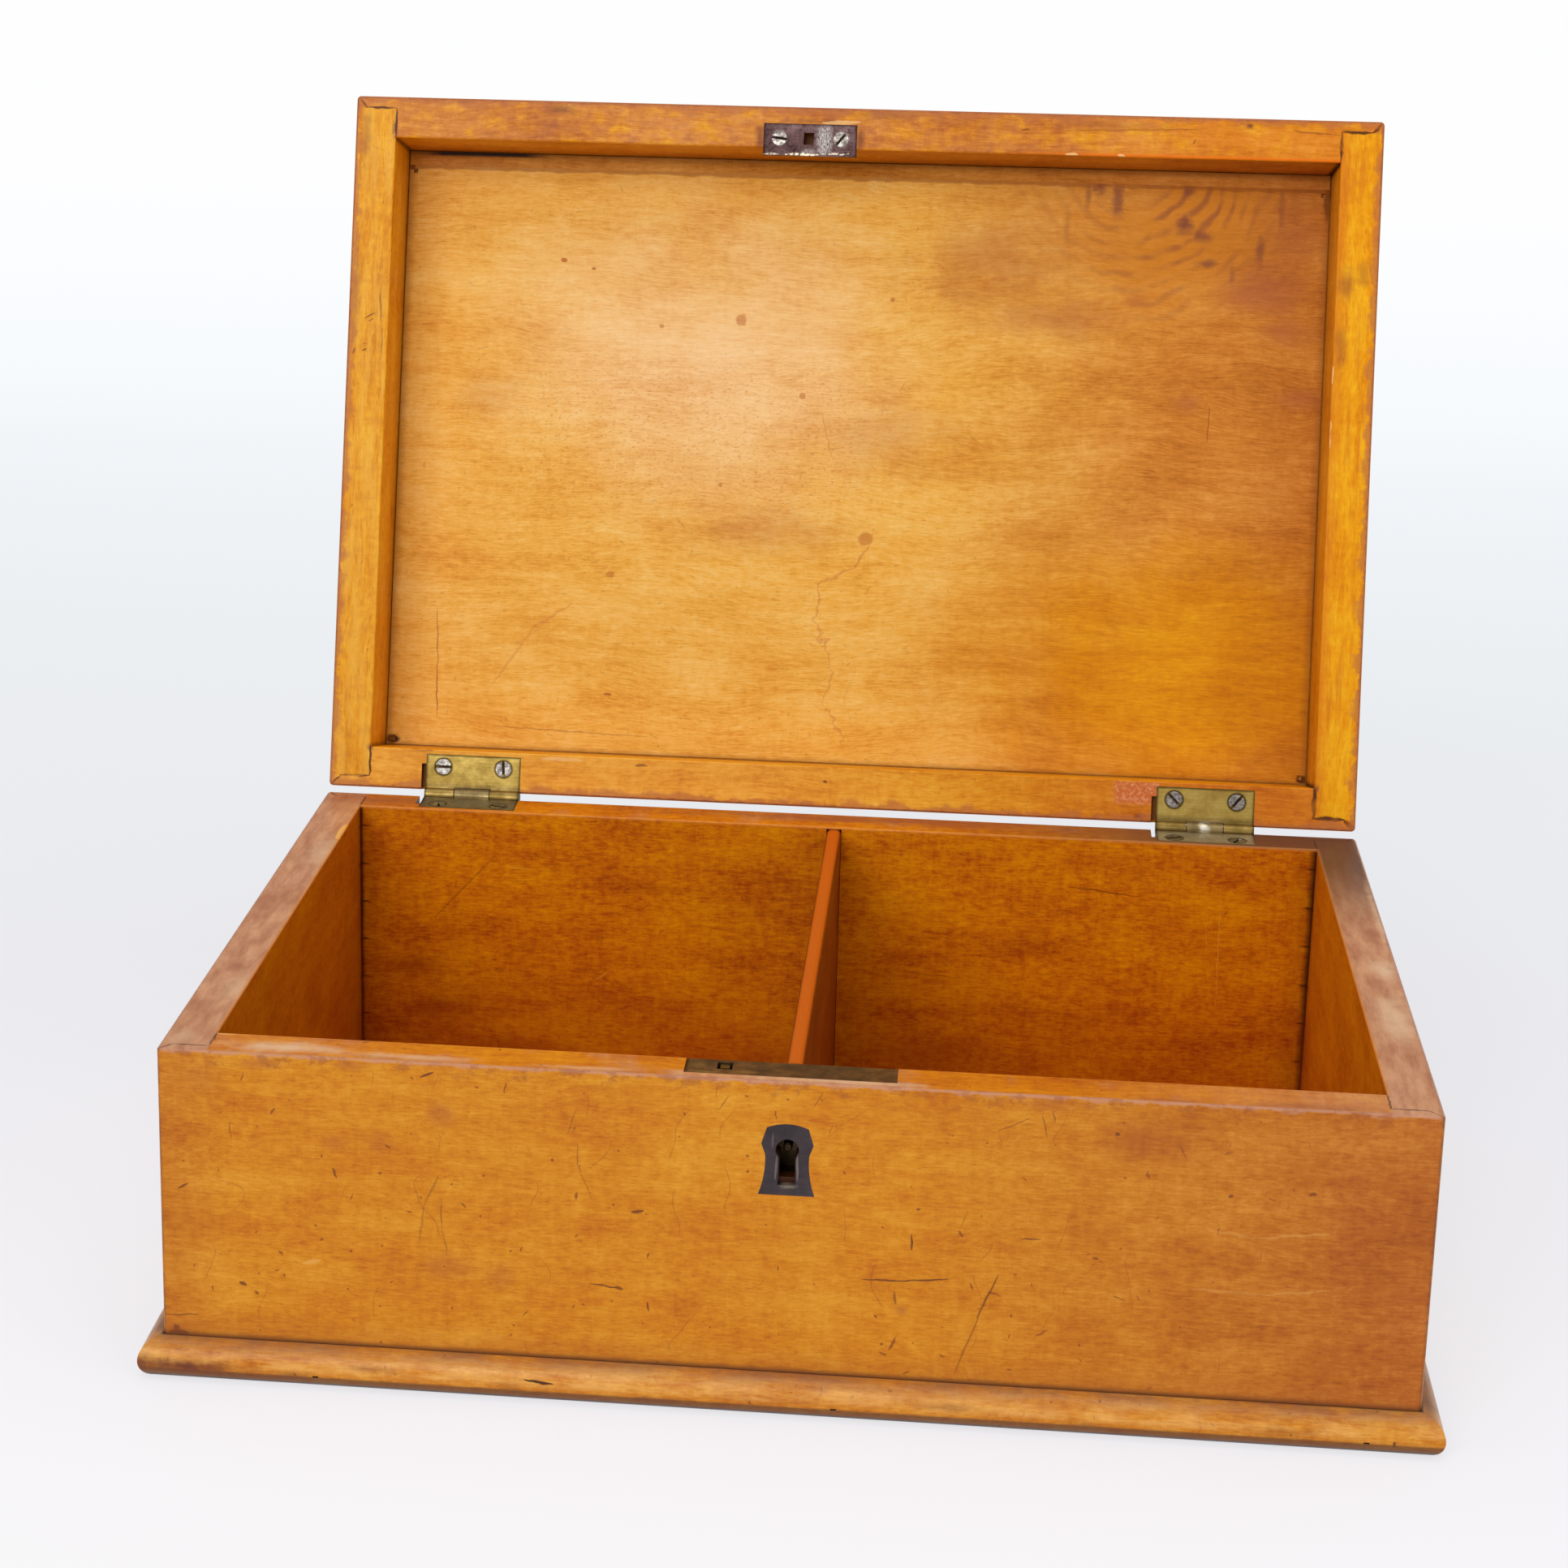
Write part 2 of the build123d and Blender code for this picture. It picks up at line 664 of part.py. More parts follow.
spring_root = case_front + case_wall
spring_line = (bolt_middle, bolt_shoulder - bolt_plate_height / 2)
with BuildPart() as lock_spring:
    with BuildSketch(Plane.YZ.offset(spring_line[0] - spring_width / 2)):
        with BuildLine():
            span = case_height / 2 - 2 * case_wall - rivet_radius
            outer = [(spring_root, spring_line[1] + way * span) for way in (-1, 1)]
            crown = (spring_root + spring_bow, spring_line[1])
            ThreePointArc(outer[0], crown, outer[1])
            Line(outer[1], (outer[1][0] + spring_thickness, outer[1][1]))
            inner = [(y + spring_thickness, z) for y, z in outer]
            ThreePointArc(inner[1], (crown[0] + spring_thickness, crown[1]), inner[0])
            Line(inner[0], outer[0])
        make_face()
    extrude(amount=spring_width)
finish(lock_spring, "lock_spring")

stud_root = Plane(
    origin=(bolt_middle, plate_front, guide_z),
    x_dir=(1, 0, 0),
    z_dir=(0, -1, 0),
)
with BuildPart() as lock_guide_stud:
    rod(stud_root, guide_stud / 2, bolt_thickness + 2 * bolt_play)
finish(lock_guide_stud, "lock_guide_stud")

with BuildPart() as escutcheon:
    with BuildSketch(front_face):
        escutcheon_outline()
    extrude(amount=-escutcheon_thickness)
    keyhole(front_face, board, escutcheon_slot_foot, escutcheon_slot_flare)
finish(escutcheon, "escutcheon")

# ---- lid: rails and panel ----------------------------------------------------------------------

bolt_line = (bolt_back + bolt_front) / 2
strike_y = (-half_depth + strike_front, inner_face_y + strike_reach)
strike_middle = -bolt_offset + strike_shift
strike_x = (strike_middle - strike_length / 2, strike_middle + strike_length / 2)
strike_hole_x = (-bolt_offset - strike_hole_width / 2, -bolt_offset + strike_hole_width / 2)
strike_hole_y = (bolt_line - strike_hole_depth / 2, bolt_line + strike_hole_depth / 2)
strike_screws_at = [
    upright(lid_frame, strike_middle + way * strike_screw_spread / 2, bolt_line, 0, -1)
    for way in (-1, 1)
]

tongue_foot = lid_hollow + tongue_setback
tongue_rows = (tongue_foot, tongue_foot + tongue_thickness)
groove_rows = (tongue_foot, tongue_rows[1] + groove_play)
tongue_x = inner_length + tongue_length
tongue_y = inner_depth + tongue_length


def lid_groove():
    """The groove in the rails that holds the panel's tongue."""
    block(lid_frame, (-tongue_x, tongue_x), (-tongue_y, tongue_y), groove_rows, Mode.SUBTRACT)


front_rail = rail("x", -1)
with BuildPart() as lid_front_rail:
    add(front_rail)
    lid_groove()
    block(lid_frame, strike_x, strike_y, (0, strike_thickness), Mode.SUBTRACT)
    block(lid_frame, strike_hole_x, strike_hole_y, (0, strike_pocket), Mode.SUBTRACT)
    for place in strike_screws_at:
        screw(place, strike_screw_head, hinge_screw_shank, strike_screw_length, Mode.SUBTRACT)
finish(lid_front_rail, "lid_front_rail")

rear_rail = rail("x", 1)
with BuildPart() as lid_rear_rail:
    add(rear_rail)
    lid_groove()
    for centre in hinge_centres.values():
        hinge_seat(lid_frame, centre, 1)
finish(lid_rear_rail, "lid_rear_rail")

for name, outward in (("left", -1), ("right", 1)):
    side_rail = rail("y", outward)
    with BuildPart() as lid_side_rail:
        add(side_rail)
        lid_groove()
    finish(lid_side_rail, f"lid_{name}_rail")

panel_x = (-inner_length + panel_clearance, inner_length - panel_clearance)
panel_joint = -inner_depth + strip_width
panel_rows = (lid_hollow, lid_height)
reach_x = (-tongue_x + panel_clearance, tongue_x - panel_clearance)
with BuildPart() as lid_panel:
    block(lid_frame, panel_x, (panel_joint, inner_depth - panel_clearance), panel_rows)
    block(lid_frame, reach_x, (panel_joint, tongue_y - panel_clearance), tongue_rows)
    for end in (-1, 1):
        for row in (panel_joint + tack_hole_inset, inner_depth - panel_clearance - tack_hole_inset):
            spot = upright(lid_frame, end * (panel_x[1] - tack_hole_inset), row, lid_hollow)
            spike(spot, tack_hole_width, tack_hole_depth, Mode.SUBTRACT)
finish(lid_panel, "lid_panel")

with BuildPart() as lid_panel_strip:
    block(lid_frame, panel_x, (-inner_depth + panel_clearance, panel_joint), panel_rows)
    block(lid_frame, reach_x, (-tongue_y + panel_clearance, panel_joint), tongue_rows)
finish(lid_panel_strip, "lid_panel_strip")

with BuildPart() as strike_plate:
    block(lid_frame, strike_x, strike_y, (0, strike_thickness))
    block(lid_frame, strike_hole_x, strike_hole_y, (0, strike_thickness), Mode.SUBTRACT)
    for place in strike_screws_at:
        screw(place, strike_screw_head, hinge_screw_shank, strike_screw_length, Mode.SUBTRACT)
finish(strike_plate, "strike_plate")

with BuildPart() as strike_screws:
    for place in strike_screws_at:
        screw(place, strike_screw_head, hinge_screw_shank, strike_screw_length)
finish(strike_screws, "strike_screws")

# ---- hinges --------------------------------------------------------------------------------------

half_hinge = hinge_length / 2
half_middle = middle_knuckle / 2
outer_start = half_middle + knuckle_clearance


def hinge_leaf(frame, centre, down, spans, other_spans, bore):
    """A leaf of a butt hinge with knuckles over some spans of its length and gaps for the rest."""
    face = rim_height if frame is box_frame else 0
    axis_height = pin_z if frame is box_frame else -saw_gap / 2
    rows = sorted((face, face + down * leaf_thickness))
    with BuildPart() as leaf:
        block(frame, (centre - half_hinge, centre + half_hinge), (half_depth - leaf_depth, pin_y), rows)
        for radius, runs, mode in (
            (knuckle_radius + knuckle_relief, other_spans, Mode.SUBTRACT),
            (knuckle_radius, spans, Mode.ADD),
            (bore, spans, Mode.SUBTRACT),
        ):
            for start, stop in runs:
                axis = Plane(
                    origin=(centre + start, pin_y, axis_height),
                    x_dir=(0, 1, 0),
                    z_dir=(1, 0, 0),
                )
                rod(on(frame, axis), radius, stop - start, mode)
        for place in leaf_screws(frame, centre, -down):
            screw(place, hinge_screw_head, hinge_screw_shank, hinge_screw_length, Mode.SUBTRACT)
    return leaf


middle_span = [(-half_middle, half_middle)]
middle_gap = [(-outer_start, outer_start)]
outer_spans = [(-half_hinge, -outer_start), (outer_start, half_hinge)]
outer_gaps = [(-half_hinge, -half_middle), (half_middle, half_hinge)]
for name, centre in hinge_centres.items():
    lower = hinge_leaf(box_frame, centre, -1, middle_span, outer_gaps, pin_radius + pin_running)
    finish(lower, f"{name}_hinge_lower_leaf")
    upper = hinge_leaf(lid_frame, centre, 1, outer_spans, middle_gap, pin_radius)
    finish(upper, f"{name}_hinge_upper_leaf")
    with BuildPart() as hinge_pin:
        with BuildSketch(Plane.YZ.offset(centre - half_hinge)):
            with Locations((pin_y, pin_z)):
                Circle(pin_radius)
        extrude(amount=hinge_length)
    finish(hinge_pin, f"{name}_hinge_pin")

for name, frame, facing in (("lower", box_frame, 1), ("upper", lid_frame, -1)):
    with BuildPart() as leaf_screw_set:
        for centre in hinge_centres.values():
            for place in leaf_screws(frame, centre, facing):
                screw(place, hinge_screw_head, hinge_screw_shank, hinge_screw_length)
    finish(leaf_screw_set, f"hinge_{name}_screws")
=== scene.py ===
from functools import partialmethod
from math import cos, pi, radians, sin

import bpy
import numpy as np
from mathutils import Matrix, Vector


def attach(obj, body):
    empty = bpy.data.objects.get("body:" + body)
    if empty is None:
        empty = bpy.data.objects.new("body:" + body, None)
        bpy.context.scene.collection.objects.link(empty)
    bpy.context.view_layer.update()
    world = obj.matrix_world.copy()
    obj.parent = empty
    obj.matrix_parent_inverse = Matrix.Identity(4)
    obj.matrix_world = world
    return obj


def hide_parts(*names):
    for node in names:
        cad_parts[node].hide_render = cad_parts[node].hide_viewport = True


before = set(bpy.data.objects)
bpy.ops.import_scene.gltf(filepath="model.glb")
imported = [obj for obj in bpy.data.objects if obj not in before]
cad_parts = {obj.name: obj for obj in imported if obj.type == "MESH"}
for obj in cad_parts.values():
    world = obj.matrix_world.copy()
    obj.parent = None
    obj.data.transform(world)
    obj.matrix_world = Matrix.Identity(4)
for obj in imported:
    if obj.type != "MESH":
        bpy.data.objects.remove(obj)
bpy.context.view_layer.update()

# Sizes in millimetres, in the CAD's frame; heights in the lid are from its sawn face
RIM = 85.2
SAW_GAP = 0.3
HALF_X, HALF_Y = 152.5, 104
BOARD = 12.2
IN_X, IN_Y = HALF_X - BOARD, HALF_Y - BOARD
OPEN = radians(105)
PIN_Y, PIN_Z = HALF_Y + 1.35, RIM + SAW_GAP / 2
LID_TOP, HOLLOW = 31.8, 25
LAP = 3.4
FIRST_TAIL, TAIL_STEP = 6.8, 11.9
MOULDING_TOP = 10
STRIP_WIDTH = 6.2
HINGE_X, HALF_LEAF, LEAF_Y, KNUCKLE_Y = 108.8, 14.3, 93.2, 102.6
SCREW_SPREAD, SCREW_Y = 9.1, 96.9
BOLT_Y, STRIKE_X = -94.6, -15.5
LOCK_SCREW_Z = RIM - 16


def tint(r, g, b):
    """A colour as it looks on a screen, 0 to 255, made linear."""
    return [(c / 255) ** 2.2 for c in (r, g, b)] + [1]


def added(name, data):
    """A new object in the scene."""
    piece = bpy.data.objects.new(name, data)
    bpy.context.scene.collection.objects.link(piece)
    return piece


# ---- camera ----

FRAME_PIXELS = 1932


def look(place, azimuth, elevation, roll, focal_pixels, shift):
    """A camera at a place in millimetres: azimuth turns it to the right, elevation tips it down."""
    ahead = Vector((sin(azimuth) * cos(elevation), cos(azimuth) * cos(elevation), -sin(elevation)))
    level = ahead.cross(Vector((0, 0, 1))).normalized()
    upright = level.cross(ahead)
    right = level * cos(roll) + upright * sin(roll)
    up = upright * cos(roll) - level * sin(roll)
    data = bpy.data.cameras.new("camera")
    data.sensor_width = 36
    data.lens = data.sensor_width * focal_pixels / FRAME_PIXELS
    data.shift_x, data.shift_y = shift
    data.clip_start, data.clip_end = 0.01, 50
    camera = added("camera", data)
    turn = Matrix((right, up, -ahead)).transposed().to_4x4()
    camera.matrix_world = Matrix.Translation(Vector(place) / 1000) @ turn
    bpy.context.scene.camera = camera


look((38.76, -827, 383.78), -0.09835, 0.264, 0.01589, 4051.4, (0.08, -0.08))
bpy.context.scene.view_settings.view_transform = "Standard"


# ---- short ways to lay out nodes ----

class Wiring:
    """Adds nodes to one tree; a value is a number, a colour, a vector or another node's socket."""

    def __init__(self, tree):
        self.tree = tree

    def put(self, value, socket):
        if isinstance(value, bpy.types.NodeSocket):
            self.tree.links.new(value, socket)
        elif value is not None:
            socket.default_value = value

    def node(self, kind, inputs=(), out=0, **settings):
        n = self.tree.nodes.new("ShaderNode" + kind)
        for key, value in settings.items():
            setattr(n, key, value)
        pairs = inputs.items() if isinstance(inputs, dict) else enumerate(inputs)
        for key, value in pairs:
            self.put(value, n.inputs[key])
        return n if out is None else n.outputs[out]

    def parts(self, vector):
        """The x, y and z of a vector."""
        return [self.node("SeparateXYZ", [vector], out=k) for k in range(3)]

    def math(self, operation, *values, clamp=False):
        return self.node("Math", values, operation=operation, use_clamp=clamp)

    plus = partialmethod(math, "ADD")
    minus = partialmethod(math, "SUBTRACT")
    times = partialmethod(math, "MULTIPLY")
    over = partialmethod(math, "DIVIDE")
    times_plus = partialmethod(math, "MULTIPLY_ADD")
    size = partialmethod(math, "ABSOLUTE")
    most = partialmethod(math, "MAXIMUM")

    def both(self, *masks):
        """The product of several masks."""
        whole = masks[0]
        for mask in masks[1:]:
            whole = self.times(whole, mask)
        return whole

    def vector(self, operation, *values, out=0):
        return self.node("VectorMath", values, operation=operation, out=out)

    def length(self, u, v):
        """How long a flat vector is, from its two parts."""
        return self.math("SQRT", self.times_plus(u, u, self.times(v, v)))

    def noise(self, place, sizes, detail=2, roughness=0.5, out=0):
        """A noise whose clouds have these sizes along x, y and z; one number stands for three."""
        sizes = sizes if isinstance(sizes, tuple) else (sizes,) * 3
        shrunk = self.vector("MULTIPLY", place, [1 / size for size in sizes])
        inputs = {"Vector": shrunk, "Scale": 1, "Detail": detail, "Roughness": roughness}
        return self.node("TexNoise", inputs, out=out)

    def span(self, value, low, high, to_low=0, to_high=1, smooth=False):
        """The value carried from one range to another and held at its ends."""
        ends = {"From Min": low, "From Max": high, "To Min": to_low, "To Max": to_high}
        kind = "SMOOTHSTEP" if smooth else "LINEAR"
        return self.node("MapRange", {"Value": value, **ends}, interpolation_type=kind)

    def mix(self, amount, a, b):
        n = self.node("Mix", out=None, data_type="RGBA", clamp_factor=True)
        for value, socket in ((amount, n.inputs[0]), (a, n.inputs[6]), (b, n.inputs[7])):
            self.put(value, socket)
        return n.outputs[2]

    def ramp(self, value, stops):
        n = self.node("ValToRGB", [value], out=None)
        points = n.color_ramp.elements
        while len(points) < len(stops):
            points.new(0.5)
        for point, (place, colour) in zip(points, stops):
            point.position = place
            point.color = colour
        return n.outputs[0]


def group(name, outputs, vectors, numbers=()):
    """Makes a shader node group, once, from the function that lays out its nodes: that gets the
    group's inputs by name and returns its outputs, which are numbers, in order."""

    def build(fill):
        tree = bpy.data.node_groups.new(name, "ShaderNodeTree")
        for kind, sockets in (("Vector", vectors), ("Float", numbers)):
            for socket in sockets:
                tree.interface.new_socket(socket, in_out="INPUT", socket_type="NodeSocket" + kind)
        for socket in outputs:
            tree.interface.new_socket(socket, in_out="OUTPUT", socket_type="NodeSocketFloat")
        source, sink = tree.nodes.new("NodeGroupInput"), tree.nodes.new("NodeGroupOutput")
        results = fill(Wiring(tree), {s.name: s for s in source.outputs if s.name})
        for socket, value in zip(outputs, results):
            tree.links.new(value, sink.inputs[socket])
        return tree

    return build


def use(w, tree, **values):
    """Places a group in a tree and returns its outputs by name."""
    n = w.node("Group", out=None, node_tree=tree)
    for key, value in values.items():
        w.put(value, n.inputs[key])
    return n.outputs


# ---- effects that several finishes share ----

SHARE_NAMES = ("Streaks", "Fibres", "Blotches", "Mottling", "Ripples")


@group("wood_figure", ["Tone", "Flecks", "Height"], ["Place"], SHARE_NAMES)
def wood_figure(w, given):
    """Wood in millimetres, its grain along x: long streaks, fine fibres, soft blotches, mottling,
    ripples across the grain and short dark flecks. Tone is 0 dark to 1 pale."""
    place = given["Place"]
    drift = w.minus(w.noise(place, (70, 30, 30)), 0.5)
    bent = w.vector("ADD", place, w.node("CombineXYZ", [0, w.times(drift, 14), 0]))
    streak = w.noise(bent, (42, 2.6, 5), 5, 0.62)
    fibre = w.noise(bent, (5, 0.34, 0.5), 3, 0.65)
    blotch = w.noise(place, (30, 17, 18), 4, 0.6)
    mottle = w.noise(bent, (3, 1.5, 1.7), 4, 0.75)
    ripple = w.noise(bent, (1.8, 8, 10), 3, 0.6)
    flecks = w.span(w.noise(bent, (2.2, 0.34, 0.5)), 0.62, 0.74)
    tone = 0.5
    for part, share in zip((streak, fibre, blotch, mottle, ripple), SHARE_NAMES):
        tone = w.times_plus(w.minus(part, 0.5), given[share], tone)
    height = w.times_plus(fibre, 0.6, w.times(ripple, 0.8))
    return tone, flecks, w.minus(height, w.times(flecks, 0.5))


@group("nicks_and_scratches", ["Nicks", "Hairs"], ["Face place"])
def knocks(w, given):
    """Nicks: an oval in some cells of a face, turned at random. Hairs: thin curved scratches that
    cross the grain, one in each strip of the face, broken by a noise."""
    flat = given["Face place"]
    stir = w.vector("SUBTRACT", w.noise(flat, 1.25, out=1), (0.5, 0.5, 0.5))
    ragged = w.vector("MULTIPLY_ADD", stir, (0.9, 0.9, 0), flat)
    nicks = 0
    sorts = ((15, 0.55, 1.3, 0.42), (8, 0.68, 0.6, 0.38), (31, 0.55, 2.4, 0.36))
    for cell, empty, long, wide in sorts:
        spread = {"Vector": ragged, "Scale": 1 / cell}
        cells = w.node("TexVoronoi", spread, out=None, voronoi_dimensions="2D")
        chance, turn, size = w.parts(cells.outputs["Color"])
        away = w.vector("SUBTRACT", ragged, cells.outputs["Position"])
        turned = {"Vector": away, "Angle": w.times(turn, 3.14)}
        away = w.node("VectorRotate", turned, rotation_type="Z_AXIS")
        reach = w.vector("LENGTH", w.vector("MULTIPLY", away, (1 / long, 1 / wide, 0)), out="Value")
        reach = w.over(reach, w.times_plus(size, 0.65, 0.35))
        shown = w.times(w.span(reach, 1, 0.6), w.math("GREATER_THAN", chance, empty))
        nicks = w.most(nicks, shown)
    u, v, _ = w.parts(flat)
    hairs = 0
    for pitch, sway, cut in ((19, 22, 0.57), (31, 60, 0.56)):
        slow = w.noise(w.node("CombineXYZ", [w.over(u, 45), w.over(v, 20), pitch]), 1, 1.5)
        strip = w.over(w.times_plus(w.minus(slow, 0.5), sway, u), pitch)
        cell = w.math("FLOOR", strip)
        luck = w.node("TexWhiteNoise", {"W": w.plus(cell, pitch)}, noise_dimensions="1D")
        off = w.size(w.minus(w.math("FRACT", strip), w.times_plus(luck, 0.5, 0.25)))
        thin = w.span(w.times(off, pitch), 0.24, 0.04)
        patchy = w.noise(w.node("CombineXYZ", [w.times(cell, 7.3), w.over(v, 14), pitch]), 1, 1)
        hairs = w.most(hairs, w.times(thin, w.span(patchy, cut, cut + 0.05)))
    return nicks, hairs


SPREAD = ("Centre U", "Centre V", "Radius U", "Radius V", "Share")


@group("ragged_patch", ["Mask"], [], ["U", "V", *SPREAD, "Core", "Noise", "Depth", "Under"])
def patch(w, given):
    """A soft ragged patch on a flat face, laid over the patches before it: its share at its
    centre, nothing where the distance over the radii, stirred by a noise, reaches 1."""
    off = [w.minus(given[way], given["Centre " + way]) for way in "UV"]
    off = [w.over(part, given["Radius " + way]) for part, way in zip(off, "UV")]
    away = w.times_plus(w.minus(given["Noise"], 0.5), given["Depth"], w.length(*off))
    return [w.most(given["Under"], w.span(away, given["Core"], 1, given["Share"], 0, smooth=True))]


RUN = ("Start U", "Start V", "End U", "End V", "Half width", "Share")


@group("fine_line", ["Mask"], [], ["U", "V", *RUN, "Under"])
def fine_line(w, given):
    """A straight scratch on a flat face, laid over those before it: its share on the line
    between two points, which thins towards both ends."""
    run = [w.minus(given["End " + way], given["Start " + way]) for way in "UV"]
    off = [w.minus(given[way], given["Start " + way]) for way in "UV"]
    whole, along = [w.times_plus(a[0], run[0], w.times(a[1], run[1])) for a in (run, off)]
    along = w.math("DIVIDE", along, whole, clamp=True)
    away = w.length(*[w.minus(a, w.times(along, b)) for a, b in zip(off, run)])
    end = w.times_plus(along, 2, -1)
    width = w.times(given["Half width"], w.times_plus(w.times(end, end), -0.7, 1))
    mask = w.span(away, w.times(width, 0.45), w.plus(width, 0.04), given["Share"], 0)
    return [w.most(given["Under"], mask)]


@group("edge_wear", ["Mask"], ["Place"], ["Distance", "Width"])
def edge_wear(w, given):
    """Wear along an edge: strong where the distance from the edge is small, fading over a width
    that a noise makes uneven."""
    uneven = w.span(w.noise(given["Place"], 5, 5, 0.65), 0.32, 0.68, 0.1, 1.9)
    reach = w.times(given["Width"], uneven)
    return [w.span(given["Distance"], reach, w.times(reach, 0.5))]


RING_SIZES = ("Pitch", "Inner", "Outer", "Stir")


@group("knot_rings", ["Waves", "Area"], ["Place", "Centre", "Shape"], RING_SIZES)
def rings(w, given):
    """Rings round a knot: waves of the distance from its middle, stirred by a slow noise and kept
    between an inner and an outer radius."""
    away = w.vector("SUBTRACT", given["Place"], given["Centre"])
    away = w.vector("MULTIPLY", away, given["Shape"])
    stir = w.minus(w.noise(given["Place"], 20, 2.5), 0.5)
    far = w.times_plus(stir, given["Stir"], w.vector("LENGTH", away, out="Value"))
    wave = w.math("SINE", w.times(far, given["Pitch"]))
    outer = w.span(far, given["Outer"], w.times(given["Outer"], 0.6))
    keep = w.times(w.span(far, given["Inner"], w.plus(given["Inner"], 6)), outer)
    return w.times(w.span(wave, -0.2, 1), keep), keep


@group("corner_joint", ["Mask"], ["Place"], ["Half width"])
def corner_joint(w, given):
    """The dark lines of a mitred lap joint on a sawn face: across the lap, along the mitre and
    down the shoulder, alike at all four corners."""
    x, y, _ = w.parts(given["Place"])
    wander = w.minus(w.noise(given["Place"], 2.5), 0.5)
    x = w.times_plus(wander, 1.2, w.size(x))
    y = w.times_plus(wander, -1.2, w.size(y))
    lap_x, lap_y = HALF_X - LAP, HALF_Y - LAP
    corners = [(IN_X, IN_Y), (IN_X, lap_y), (lap_x, lap_y), (HALF_X, HALF_Y)]
    lines = 0
    for start, end in zip(corners, corners[1:]):
        run = dict(zip(RUN, (*start, *end, given["Half width"], 1)))
        lines = use(w, fine_line, **run, U=x, V=y, Under=lines)["Mask"]
    return [w.times(lines, w.span(w.noise(given["Place"], 1 / 0.12), 0.3, 0.55, 0.35, 1))]


# ---- places on the pieces ----

def turned_shut(w, vector, move, kind):
    """A vector of the open lid turned to where it is when the lid is shut."""
    settings = {"Vector": vector, "Rotation": (OPEN, 0, 0), **move}
    return w.node("Mapping", settings, vector_type=kind)


def millimetres(w, lid):
    """Where a point is, in millimetres: in the box's frame, or for the lid as if it lay shut,
    with its height measured from its sawn face."""
    place = w.node("TexCoord", out="Object")
    if lid:
        turn = Matrix.Rotation(OPEN, 3, "X")
        pin = Vector((0, PIN_Y, PIN_Z)) / 1000
        move = pin - turn @ pin - Vector((0, 0, RIM + SAW_GAP)) / 1000
        place = turned_shut(w, place, {"Location": move}, "POINT")
    return w.vector("MULTIPLY", place, (1000, 1000, 1000))


def on_the_face(w):
    """Millimetres along and across the flat face that a point lies on, found from its normal, with
    each way of facing moved far from the others."""
    normal = w.node("TexCoord", out="Normal")
    if w.lid:
        normal = turned_shut(w, normal, {}, "VECTOR")
    side, _, top = [w.math("GREATER_THAN", w.size(part), 0.75) for part in w.parts(normal)]
    along = w.times_plus(side, w.minus(w.y, w.x), w.x)
    across = w.times_plus(top, w.minus(w.y, w.z), w.z)
    apart = w.times_plus(side, 331, w.times(top, 717))
    return w.node("CombineXYZ", [w.plus(along, apart), across, 0])


def finish_of(name):
    """A new material, its nodes and its shader."""
    material = bpy.data.materials.new(name)
    material.use_nodes = True
    return material, material.node_tree, material.node_tree.nodes["Principled BSDF"]


